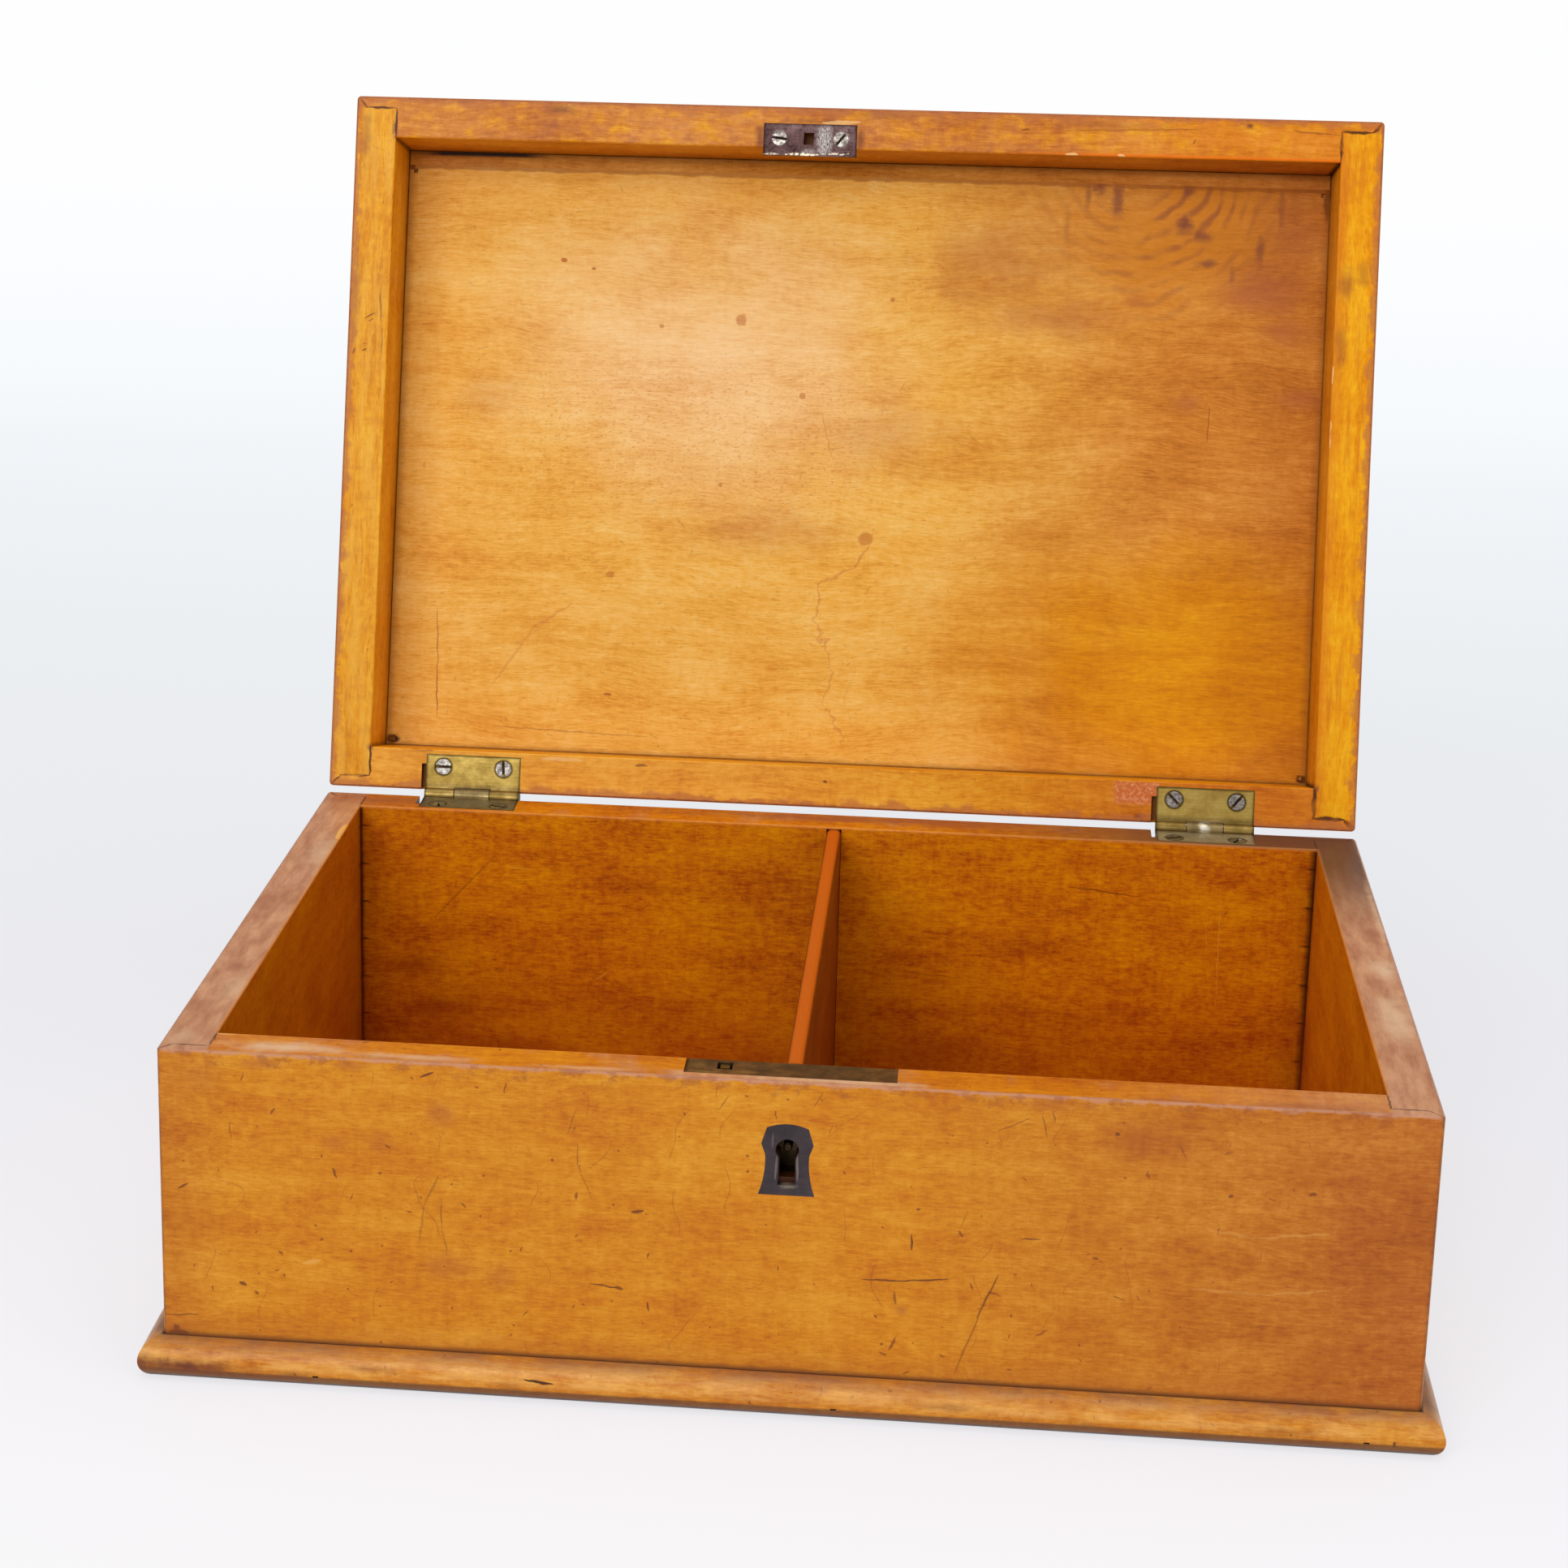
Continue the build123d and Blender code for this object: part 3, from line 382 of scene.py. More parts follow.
class Spot(Wiring):
    """The wiring of a finish, which knows where it paints: the place and its parts in millimetres,
    how far that is inside the box's sides, from the front and from the sawn face, the tone of the
    figure there, and the colour so far, which each wash, set of stains or set of lines adds to."""

    def __init__(self, tree, lid):
        super().__init__(tree)
        self.place, self.lid = millimetres(self, lid), lid
        self.x, self.y, self.z = self.parts(self.place)
        self.ax, self.ay = self.size(self.x), self.size(self.y)
        self.in_x, self.in_y = self.minus(IN_X, self.ax), self.minus(IN_Y, self.ay)
        from_sides = self.minus(HALF_X, self.ax), self.minus(HALF_Y, self.ay)
        self.in_from_side = self.math("MINIMUM", *from_sides)
        self.back = self.plus(self.y, HALF_Y)
        self.deep = self.z if lid else self.minus(RIM, self.z)
        self.tone = self.colour = None

    def figured(self, dark, middle, pale):
        """Three tones for the figure of the wood, or the patches of the metal."""
        stops = [(stop, tint(*tone)) for stop, tone in zip((0.2, 0.5, 0.8), (dark, middle, pale))]
        return self.ramp(self.tone, stops)

    def wash(self, other, share, *masks):
        """Lays a share of another colour over what is there, where all the masks are 1."""
        if isinstance(other, tuple):
            other = tint(*other)
        self.colour = self.mix(self.both(*masks, share), self.colour, other)

    def patches(self, down, shapes, core=0, ragged=0.1, depth=1.2):
        """1 in ragged patches on a face, each as centre, radii and share. They are placed along x
        and down, back or up; ragged is how many clouds of their noise fit in a millimetre."""
        mask, noise = 0, self.noise(self.place, 1 / ragged, 4, 0.6)
        given = {"U": self.x, "V": down, "Noise": noise, "Core": core, "Depth": depth}
        for shape in shapes:
            mask = use(self, patch, **given, **dict(zip(SPREAD, shape)), Under=mask)["Mask"]
        return mask

    def stains(self, other, gate, *patches, **look):
        """Patches of another colour, kept to where the gate is 1."""
        self.wash(other, gate, self.patches(*patches, **look))

    def lines(self, other, gate, down, marks, wander=1.5):
        """Scratches of another colour, each as its two ends, half width and share. A noise makes
        them wander."""
        off = self.times(self.minus(self.noise(self.place, 1 / 0.22, 3), 0.5), wander)
        u, v, mask = self.plus(self.x, off), self.minus(down, off), 0
        for mark in marks:
            mask = use(self, fine_line, **dict(zip(RUN, mark)), U=u, V=v, Under=mask)["Mask"]
        self.wash(other, gate, mask)

    def wear(self, distance, width, scale=1):
        """Wear along the edge that a distance is measured from, its noise finer by a scale."""
        place = self.vector("MULTIPLY", self.place, (scale, scale, scale))
        return use(self, edge_wear, Place=place, Distance=distance, Width=width)["Mask"]

    def within(self, value, low, high, soft=0.5):
        """1 where a value is between two limits, with soft edges."""
        return self.both(self.span(value, low - soft, low), self.span(value, high + soft, high))

    def joints(self, width):
        """The lines of the corner joints."""
        return use(self, corner_joint, Place=self.place, **{"Half width": width})["Mask"]

    def on_sides(self):
        """1 on the outer sides of the box or lid."""
        return self.span(self.in_from_side, 0.9, 0.3)


def bump(w, shader, strength, distance, height):
    lit = w.node("Bump", {"Strength": strength, "Distance": distance, "Height": height})
    w.put(lit, shader.inputs["Normal"])


# How far a seed moves the grain and the marks, so that no two pieces are alike
GRAIN_STEPS, MARK_STEPS = (137, 71, 53), (211, 97, 0)


def varnished(
    name, grain, seed, inner, outer, finish, lid=False, gloss=0.42, coat=0.1, knocked=0.8,
    shine=0.2, shares=(0.46, 0.5, 0.66, 0.55, 0.2),
):
    """Varnished wood with its grain along x or y. Each face is coloured through three tones from
    dark to pale: one set inside the box or lid, another on its outer sides."""
    material, tree, shader = finish_of(name)
    w = Spot(tree, lid)
    order = (w.x, w.y, w.z) if grain == "x" else (w.y, w.x, w.z)
    along = w.vector("ADD", w.node("CombineXYZ", order), [seed * step for step in GRAIN_STEPS])
    figure = use(w, wood_figure, Place=along, **dict(zip(SHARE_NAMES, shares)))
    w.tone = figure["Tone"]
    face = w.vector("ADD", on_the_face(w), [seed * step for step in MARK_STEPS])
    marks = use(w, knocks, **{"Face place": face})
    outside = w.on_sides()
    if lid:
        outside = w.most(outside, w.span(w.z, LID_TOP - 0.8, LID_TOP))
    w.colour = w.mix(outside, w.figured(*inner), w.figured(*outer))
    w.wash((126, 58, 14), 0.3, figure["Flecks"])
    w.wash((140, 66, 26), 0.45 * knocked, marks["Hairs"])
    w.wash((118, 54, 26), 0.9 * knocked, marks["Nicks"])
    if finish:
        finish(w)
    w.put(w.colour, shader.inputs["Base Color"])
    w.put(w.times_plus(w.minus(w.tone, 0.5), -0.15, gloss), shader.inputs["Roughness"])
    shader.inputs["Specular IOR Level"].default_value = shine
    shader.inputs["Coat Weight"].default_value = coat
    shader.inputs["Coat Roughness"].default_value = 0.3
    dented = w.most(marks["Nicks"], w.times(marks["Hairs"], 0.4))
    bump(w, shader, 0.12, 0.0002, w.times_plus(dented, -3 * knocked, figure["Height"]))
    return material


# ---- what each piece of wood has been through ----
# Scratches: x and distance down, back or up of both ends, half width, share. Patches: centre,
# radii, share. All in millimetres, down from the rim, back from the front face, up from the floor.

FRONT_SCRATCHES = (
    (18.7, 49.6, 30, 49.4, 0.3, 0.9), (28, 49.4, 39, 48.4, 0.26, 0.9),
    (30.1, 37.3, 30.3, 41.2, 0.34, 0.9), (-46.9, 55, -39.2, 55.7, 0.27, 0.9),
    (-41, 55.5, -38.8, 55.8, 0.6, 0.8), (-36.9, 35.6, -34.3, 35.2, 0.62, 0.85),
    (-88.3, 3.9, -84.9, 2.2, 0.42, 0.9), (51.2, 46.3, 46.4, 58, 0.34, 0.75),
    (47.4, 56, 41.9, 72.4, 0.3, 0.5), (-32.8, 58.8, -32.5, 61.4, 0.4, 0.8),
    (-109.8, 28.7, -108.6, 31, 0.4, 0.75), (-147.5, 35.8, -145.5, 34.8, 0.42, 0.8),
    (-133, 60, -131.6, 61, 0.62, 0.85), (-129.6, 62.6, -128.4, 63, 0.5, 0.7),
    (55.9, 36.8, 60.6, 36.6, 0.24, 0.75), (56.8, 5.8, 49.4, 9.6, 0.22, 0.5),
    (59.9, 4.9, 61, 10.5, 0.22, 0.6), (62.2, 3.5, 62.7, 6.6, 0.22, 0.5),
    (-135, 18.2, -134.4, 22.4, 0.18, 0.5), (-50.5, 9.9, -52.7, 16.4, 0.2, 0.45),
    (-50.4, 18.6, -49.5, 26.3, 0.2, 0.45), (-49.5, 26.3, -46.7, 32.9, 0.18, 0.4),
    (-83.8, 29.1, -87.2, 36.2, 0.45, 0.38), (-87.2, 36.2, -88.8, 47.2, 0.4, 0.32),
    (-83.2, 34.9, -83, 42.8, 0.18, 0.5), (-83, 42.8, -81.7, 49.6, 0.18, 0.45),
    (-151.9, 70.2, -143.8, 69.5, 0.3, 0.6), (8, 2.5, 6, 6, 0.2, 0.5),
    (-14, 4, -16.5, 8, 0.22, 0.45), (43.1, 30.6, 41.8, 34.5, 0.2, 0.4),
    (77, 8.4, 77.7, 9, 0.7, 0.8), (104, 22.9, 105, 22.7, 0.6, 0.7),
    (122.6, 21.2, 124.2, 21.3, 0.5, 0.7), (73, 40.6, 74.3, 40.9, 0.45, 0.7),
    (26.4, 52.5, 26.8, 55.8, 0.5, 0.6), (-150.6, 74.4, -146.4, 74.6, 1.3, 0.95),
    (-149.4, 72.6, -148.6, 74, 1, 0.8),
)
FRONT_RUBS = (
    (97, 47, 113.2, 47.6, 0.5, 0.16), (113, 47.6, 128, 45.6, 0.4, 0.2),
    (99, 31.5, 111, 33, 0.5, 0.16), (111, 33, 128, 31, 0.4, 0.2), (-117, 54, -113, 53, 0.8, 0.35),
)
FRONT_STAINS = (
    (-83.2, 12.8, 5, 5, 0.45), (-81.7, 52.6, 10, 5, 0.4), (-68.5, 54.4, 6, 5, 0.35),
    (-98.4, 20.8, 6, 5, 0.35), (-109, 21.7, 5, 4, 0.35), (-127, 2.6, 9, 2.6, 0.6),
    (-105, 1.8, 7, 2, 0.5), (28.6, 57, 2.6, 2.2, 0.7), (87, 10, 22, 8, 0.4), (60, 2, 12, 3, 0.4),
    (133, 30, 9, 34, 0.3), (146, 50, 10, 22, 0.35), (146.5, 28.4, 2.5, 3, 0.5),
    (-149, 73.5, 5, 3, 0.8), (-142, 6, 8, 7, 0.3),
)
# Pale patches of painted sheen on the rim
RIM_SHEEN = (
    (149, 97, 5, 12, 0.75), (148, 62, 6, 24, 0.6), (151.5, 140, 1.6, 44, 0.5),
    (-122, 5, 22, 5, 0.75), (-92, 3, 22, 3, 0.55), (-50, 2, 16, 2, 0.5), (10, 2, 30, 1.8, 0.6),
    (-143, 42, 5, 12, 0.35), (-143, 152, 6, 22, 0.45), (-148, 8, 5, 9, 0.3),
)
RIM_CHIPS = ((-IN_X - 0.4, 170, 1.5, 9, 0.9), (-138, 11.6, 3, 1, 0.5))
RIM_STAINS = (
    (120, 2, 22, 3, 0.6), (88, 1.5, 14, 2, 0.5), (-97, 1.5, 11, 1.6, 0.5), (-40, 1, 12, 1, 0.4),
    (-147, 58, 4, 7, 0.7), (-145, 76, 3, 5, 0.5), (-149, 104, 4, 12, 0.5), (-148, 28, 5, 8, 0.5),
    (-134, 202, 34, 8, 0.75), (10, 204, 100, 6, 0.8),
)


def cut_away(w):
    """1 on wood that was cut open inside a board's thickness: mortises, grooves, the keyhole."""
    ends = (LID_TOP - 0.6, LID_TOP - 1) if w.lid else (MOULDING_TOP + 0.2, MOULDING_TOP + 0.8)
    inside = w.within(w.in_from_side, 0.6, BOARD - 0.5, 0.1)
    return w.both(inside, w.span(w.deep, 0.14, 0.3), w.span(w.z, *ends))


def wall_finish(w):
    """Dirt above the moulding, with painted shade in the crease there; painted shade in the inner
    corners, low inside the box and on the left inner face, with the cutting marks of the tails; a
    dulled rim with a painted sheen and its corner joints, a painted highlight on its inner arris, a
    rubbed upper arris, and painted shade in the cut-open recesses."""
    place, x, y, z, ax, ay = w.place, w.x, w.y, w.z, w.ax, w.ay
    down, back, sides = w.deep, w.back, w.on_sides()
    uneven = w.noise(place, (5, 5, 3), 5, 0.65)
    # Dirt and painted shade in the crease just above the moulding
    foot = w.span(z, w.times_plus(uneven, 1.6, MOULDING_TOP + 0.6), MOULDING_TOP + 0.2)
    w.wash((92, 58, 42), 0.85, foot, sides)
    skirt = w.span(z, w.times_plus(uneven, 16, MOULDING_TOP - 1), MOULDING_TOP)
    w.wash((176, 100, 46), 0.3, skirt, sides)

    inner = w.both(w.math("LESS_THAN", ax, IN_X + 0.1), w.math("LESS_THAN", ay, IN_Y + 0.1))
    from_corner = w.times_plus(w.minus(uneven, 0.5), 1.2, w.most(w.in_x, w.in_y))
    gap = w.span(x, 100, 130, 1.2, 2.2)
    # Painted shade: near black in the gap of each inner corner, and darker within 9 mm of it
    w.wash((38, 16, 6), 0.95, w.span(from_corner, gap, 0.3), inner)
    w.wash((120, 48, 4), 0.3, w.span(from_corner, 9, 0), inner)
    step = w.over(w.times_plus(uneven, 1.2, w.minus(down, FIRST_TAIL)), TAIL_STEP)
    tick = w.span(w.math("PINGPONG", step, 0.5), 0.034, 0.012)
    w.wash((66, 26, 6), 0.85, tick, w.span(from_corner, 3.4, 1.6), inner)
    # Painted shade: the inner faces darker towards the bottom of the box
    w.wash((146, 58, 0), 0.34, w.span(z, 52, 8, smooth=True), inner)
    # Painted shade on the inner face of the left board
    w.wash((116, 46, 0), 0.3, w.span(x, -IN_X + 0.6, -IN_X + 0.2), inner)

    rim = w.span(down, 0.5, 0.2)
    streak = w.noise(place, (3, 14, 1), 4, 0.6)
    dull = w.mix(w.span(streak, 0.34, 0.66), tint(172, 114, 84), tint(214, 160, 122))
    on_sides = w.span(ax, IN_X - 0.4, IN_X + 0.4, 0, 0.86)
    patchy = w.span(w.noise(place, (16, 16, 1), 3), 0.56, 0.7, 0, 0.45)
    by_lock = w.both(w.within(x, -27, 27, 6), w.span(back, 4.6, 3.4))
    right_end = w.span(x, 66, 132, 0, 0.4)
    dulled = w.most(w.most(on_sides, patchy), w.most(w.times(by_lock, 0.7), right_end))
    w.wash(dull, dulled, rim)
    rear = w.both(w.span(y, 10, 84, smooth=True), w.span(x, 10, 126, smooth=True))
    w.wash((94, 62, 46), 0.92, rim, rear)
    # Painted sheen on the rim's varnish
    w.stains((232, 196, 158), rim, back, RIM_SHEEN, ragged=0.16)
    w.stains((156, 86, 56), rim, back, RIM_STAINS, ragged=0.2)
    w.stains((244, 184, 96), rim, back, RIM_CHIPS, 0.6, 0.4, 0.8)
    w.wash((76, 48, 38), 0.85, w.joints(0.42), rim)
    w.wash((160, 110, 92), 0.5, w.wear(w.in_from_side, 0.8), rim)
    # Painted highlight along the rounded inner arris of the rim
    eased = w.most(w.minus(ax, IN_X), w.minus(ay, IN_Y))
    w.wash((226, 140, 60), 0.35, w.span(eased, 0.9, 0.3), w.span(down, 0.9, 0.6))
    w.wash((196, 140, 112), 0.55, w.wear(down, 0.9), sides)
    upright = [w.span(a, half - 1, half - 0.3) for a, half in ((ax, HALF_X), (ay, HALF_Y))]
    w.wash((98, 62, 50), 0.7, *upright, w.span(uneven, 0.3, 0.6))
    below = w.both(w.wear(down, 3.4, 1.7), sides, w.span(uneven, 0.5, 0.6))
    w.wash((150, 78, 40), 0.5, below)
    # Painted shade in the mortises, grooves and keyhole cut inside the boards
    w.wash((46, 22, 10), 0.95, cut_away(w))


def front_finish(w):
    """The front board: what the other walls have, with scratches, stains and redder ends."""
    x, down = w.x, w.deep
    on_front = w.span(w.y, -HALF_Y + 0.8, -HALF_Y + 0.3)
    w.stains((166, 84, 40), on_front, down, FRONT_STAINS)
    ends = w.most(w.span(x, 30, 156, 0, 0.9), w.span(x, -134, -152, 0, 0.4))
    w.wash(w.figured((138, 62, 16), (174, 92, 30), (200, 124, 52)), on_front, ends)
    w.lines((104, 52, 26), on_front, down, FRONT_SCRATCHES)
    w.lines((240, 184, 104), on_front, down, FRONT_RUBS)
    wall_finish(w)


LID_SCRATCHES = (
    (-147.4, 66.9, -144.6, 65.4, 0.3, 0.75), (-146.4, 67.8, -144.8, 67, 0.25, 0.6),
    (-143, 59, -142.6, 68, 0.3, 0.55), (-142.2, 70, -142, 79, 0.25, 0.45),
    (-147.9, 76.8, -146.7, 76.2, 0.35, 0.8), (-150.6, 77.6, -150.2, 76.2, 0.35, 0.8),
    (97.3, 7.9, 98, 6.6, 0.3, 0.6), (46.8, 5.2, 49.4, 5, 0.3, 0.6), (60, 5, 100, 3.6, 0.3, 0.35),
    (126, 3.4, 139.6, 4.2, 0.3, 0.5), (-60, 198, -56.5, 198, 0.45, 0.7),
    (-3.6, 200, -2.4, 200.2, 0.6, 0.8), (-126, 196.2, -121.5, 196.6, 0.22, 0.5),
)
LID_CHIPS = (
    (60, 12, 63.6, 12, 0.5, 0.85), (75.2, 12, 77.4, 12, 0.5, 0.85),
    (-88.6, 197, -76, 197.4, 0.7, 0.5), (IN_X + 0.2, 72, IN_X + 0.2, 77, 0.35, 0.8),
    (IN_X + 0.2, 88, IN_X + 0.2, 96, 0.3, 0.7), (-1, 4.2, -12, 4.6, 0.8, 0.55),
)
LID_STAINS = (
    (-0.6, 9, 2, 5.5, 0.8), (-15, 4.2, 15, 1.2, 0.5), (-90.8, 2.6, 8, 2.4, 0.7),
    (-119.8, 0.8, 4, 1.4, 0.6), (113.6, 2.2, 1.8, 1.3, 0.95), (72, 3, 26, 2.4, 0.35),
    (8, 1.6, 16, 2.4, 0.45), (-30.5, 10, 2.6, 6, 0.8), (143, 48, 4, 7, 0.5),
    (142.4, 66, 3, 10, 0.4), (148, 45, 3, 6, 0.4), (-140.6, 10, 1.4, 4, 0.7),
    (-149, 12, 2, 12, 0.4), (-150.4, 60, 1.8, 26, 0.4), (89.6, 206.4, 3, 1.6, 0.9),
    (-140.4, 196, 1.6, 2, 0.8), (140.6, 196, 1.4, 2, 0.8),
)


def rail_finish(w):
    """The sawn face of the lid: browner along the front, golden at the left, orange at the right,
    with worn arrises, joint lines, knocks and a patch of filler beside a hinge; inside, painted
    shade deep in the hollow, on the front rail's underside and in the cut-open recesses."""
    place, x, y, h, back = w.place, w.x, w.y, w.z, w.back
    face, sides = w.span(h, 0.5, 0.2), w.on_sides()
    mottle = w.noise(place, (7, 5, 7), 5, 0.65)
    lap_y = HALF_Y - LAP
    side_rail = w.span(w.ax, IN_X - 0.2, IN_X + 0.2)
    side_rail = w.both(side_rail, w.span(w.ay, lap_y + 0.1, lap_y - 0.1))
    long_rail = w.both(w.minus(1, side_rail), face)
    side_rail = w.both(side_rail, face)

    front_rail = w.both(w.span(y, -IN_Y + 0.3, -IN_Y - 0.3), long_rail)
    brown = w.figured((170, 88, 34), (204, 124, 52), (228, 154, 80))
    orange = w.figured((186, 92, 16), (218, 126, 32), (236, 150, 60))
    brown = w.mix(w.span(x, 40, 110), brown, orange)
    w.wash(brown, 0.95, front_rail, w.span(mottle, 0.3, 0.52))
    bright_line = w.both(w.span(y, -IN_Y - 1.1, -IN_Y - 0.5), w.span(x, 40, 70))
    w.wash((238, 112, 18), 0.8, front_rail, bright_line)
    purple = w.both(w.span(mottle, 0.54, 0.68), w.within(x, -95, 60, 30))
    w.wash((156, 84, 60), 0.5, front_rail, purple)

    rear_rail = w.both(w.span(y, IN_Y - 0.3, IN_Y + 0.3), long_rail)
    red = w.figured((176, 82, 14), (210, 114, 30), (230, 142, 56))
    w.wash(red, w.span(x, 20, 100, 0, 0.85), rear_rail)
    light = w.figured((208, 120, 26), (242, 166, 58), (252, 190, 90))
    w.wash(light, w.span(x, 50, -20, 0, 0.85), rear_rail)

    right = w.both(w.span(x, 0, 1), side_rail)
    w.wash(w.figured((206, 108, 4), (238, 156, 6), (250, 190, 34)), 0.9, right)
    vein = w.noise(place, (2.2, 26, 1), 4, 0.6)
    w.wash((204, 108, 26), 0.5, right, w.span(vein, 0.48, 0.34))
    near = w.span(w.times_plus(mottle, 4, x), IN_X + 6, IN_X + 2.4)
    w.wash((210, 104, 26), 0.5, right, near)
    left = w.both(w.span(x, 0, -1), side_rail)
    w.wash((240, 180, 70), 0.5, left, w.span(vein, 0.42, 0.6))
    w.wash((206, 128, 36), 0.4, left, w.span(mottle, 0.54, 0.68))

    w.stains((120, 62, 46), face, back, LID_STAINS, ragged=0.25)
    w.lines((104, 48, 30), face, back, LID_SCRATCHES)
    w.lines((250, 204, 136), face, back, LID_CHIPS)
    ragged = w.times_plus(mottle, 1.6, back)
    filler = w.both(w.span(ragged, 196.6, 197.4), w.span(ragged, 204, 203), face)
    specks = w.span(w.noise(place, 1 / 0.9, 3), 0.46, 0.66)
    pink = w.mix(specks, tint(206, 104, 56), tint(232, 156, 112))
    w.wash(pink, 0.8, w.within(x, 82.5, 95, 0.8), filler)
    joints = w.joints(w.span(w.plus(x, y), 0, 200, 0.5, 1))
    w.wash((72, 32, 22), 0.92, joints, face)
    w.wash((182, 104, 60), 0.65, w.wear(w.in_from_side, 2.4, 0.7), face)
    w.wash((122, 66, 50), 0.5, w.wear(w.in_from_side, 0.7, 2.4), face)
    w.wash((178, 108, 70), 0.5, w.wear(h, 1), sides)

    # Painted shade on the rails' inner faces, deeper towards the panel
    inner = w.both(w.span(h, 0.7, 1), w.span(h, LID_TOP - 0.6, LID_TOP - 1))
    inner = w.both(w.minus(1, sides), inner)
    w.wash((142, 72, 8), 0.5, inner, w.span(h, 12, HOLLOW))
    # Painted shade on the front rail's inner face, which faces down when the lid stands open
    under = w.both(w.span(y, -IN_Y + 0.6, -IN_Y + 0.2), w.span(x, -120, 110, 0.35, 0.8))
    dark = w.figured((116, 50, 2), (160, 80, 8), (192, 106, 18))
    w.wash(dark, 0.9, inner, under)
    crack = w.span(w.most(w.size(w.in_x), w.size(w.in_y)), 1.6, 0.4)
    crack = w.both(crack, inner, w.span(x, -120, 120, 0.6, 1))
    w.wash((52, 22, 10), 0.9, crack)
    # Painted shade in the mortises cut inside the rails
    w.wash((112, 58, 26), 0.8, cut_away(w))


# Where the panel gets its painted sheen
PANEL_SHEEN = ((-45, 74, 85, 62, 0.75),)
PANEL_LOW_RIGHT = ((100, 166, 92, 62, 0.95), (60, 154, 44, 22, 0.5))
PANEL_CLOUDS = (
    (40, 42, 38, 22, 0.4), (122, 48, 20, 13, 0.65), (130, 30, 14, 22, 0.4), (60, 58, 30, 9, 0.45),
    (127, 60, 14, 6, 0.5), (84, 52, 5, 2.4, 0.6), (134, 80, 12, 5, 0.5), (100, 82, 6, 4, 0.4),
    (-25, 126, 40, 12, 0.25), (10, 96, 30, 16, 0.25), (-112, 88, 16, 10, 0.2),
)
KNOT_CORES = (
    (72, 14, 3.4, 10, 0.9), (77, 22, 2.8, 8, 0.7), (88, 12, 8, 3.6, 0.7), (68, 21, 1.6, 6, 0.5),
    (62, 30, 1.4, 9, 0.3), (88, 14, 7, 4, 0.5), (98, 17, 3, 5, 0.6), (97, 29, 4, 5, 0.85),
    (103, 32, 4, 3, 0.7), (104, 40, 5, 1.8, 0.7), (112, 43, 2, 5, 0.6), (120, 36, 1.8, 8, 0.55),
    (126, 24, 1.6, 9, 0.4),
)
PANEL_DROPS = (
    (-35.6, 61.3, 2, 2.2, 0.6), (10.3, 53.8, 1, 0.9, 0.7), (4.9, 126.8, 2.7, 2.4, 0.6),
    (-72.8, 140.6, 1.6, 1.2, 0.6), (-90.9, 44.7, 1.3, 0.9, 0.9), (-81.6, 47, 0.8, 0.6, 0.8),
    (-16, 84, 1.2, 1.1, 0.6), (-40, 112, 0.9, 0.9, 0.6), (-60, 64, 1, 0.8, 0.6),
)
PANEL_LINES = (
    (6, 129, 2, 136, 0.5, 0.5), (2, 136, -8, 140, 0.5, 0.45), (-8, 140, -9, 152, 0.5, 0.45),
    (-9, 152, -3, 166, 0.5, 0.4), (-3, 166, -6, 178, 0.5, 0.4), (-6, 178, 0, 190, 0.6, 0.4),
    (-84, 150, -96, 158, 0.6, 0.35), (-96, 158, -108, 176, 0.6, 0.3),
)
PANEL_SCRATCHES = (
    (-125.6, 153, -125.1, 172, 0.26, 0.6), (-125.2, 170, -124.5, 186, 0.26, 0.7),
    (106.9, 83, 106.6, 93.5, 0.25, 0.7), (-107, 188.7, -59, 190, 0.3, 0.4),
    (-73, 177.2, -71, 177.6, 0.5, 0.7), (-10, 88, -6, 103, 0.16, 0.35),
)
PANEL_NAILS = (
    (-139.3, 17.3, 1.3, 1.3, 0.95), (138.3, 13.8, 3.4, 2.6, 0.97), (139.6, 20, 1.6, 8, 0.6),
    (-138.1, 194, 2.6, 1.8, 0.95), (139.2, 194.2, 2.6, 1.6, 0.98),
)


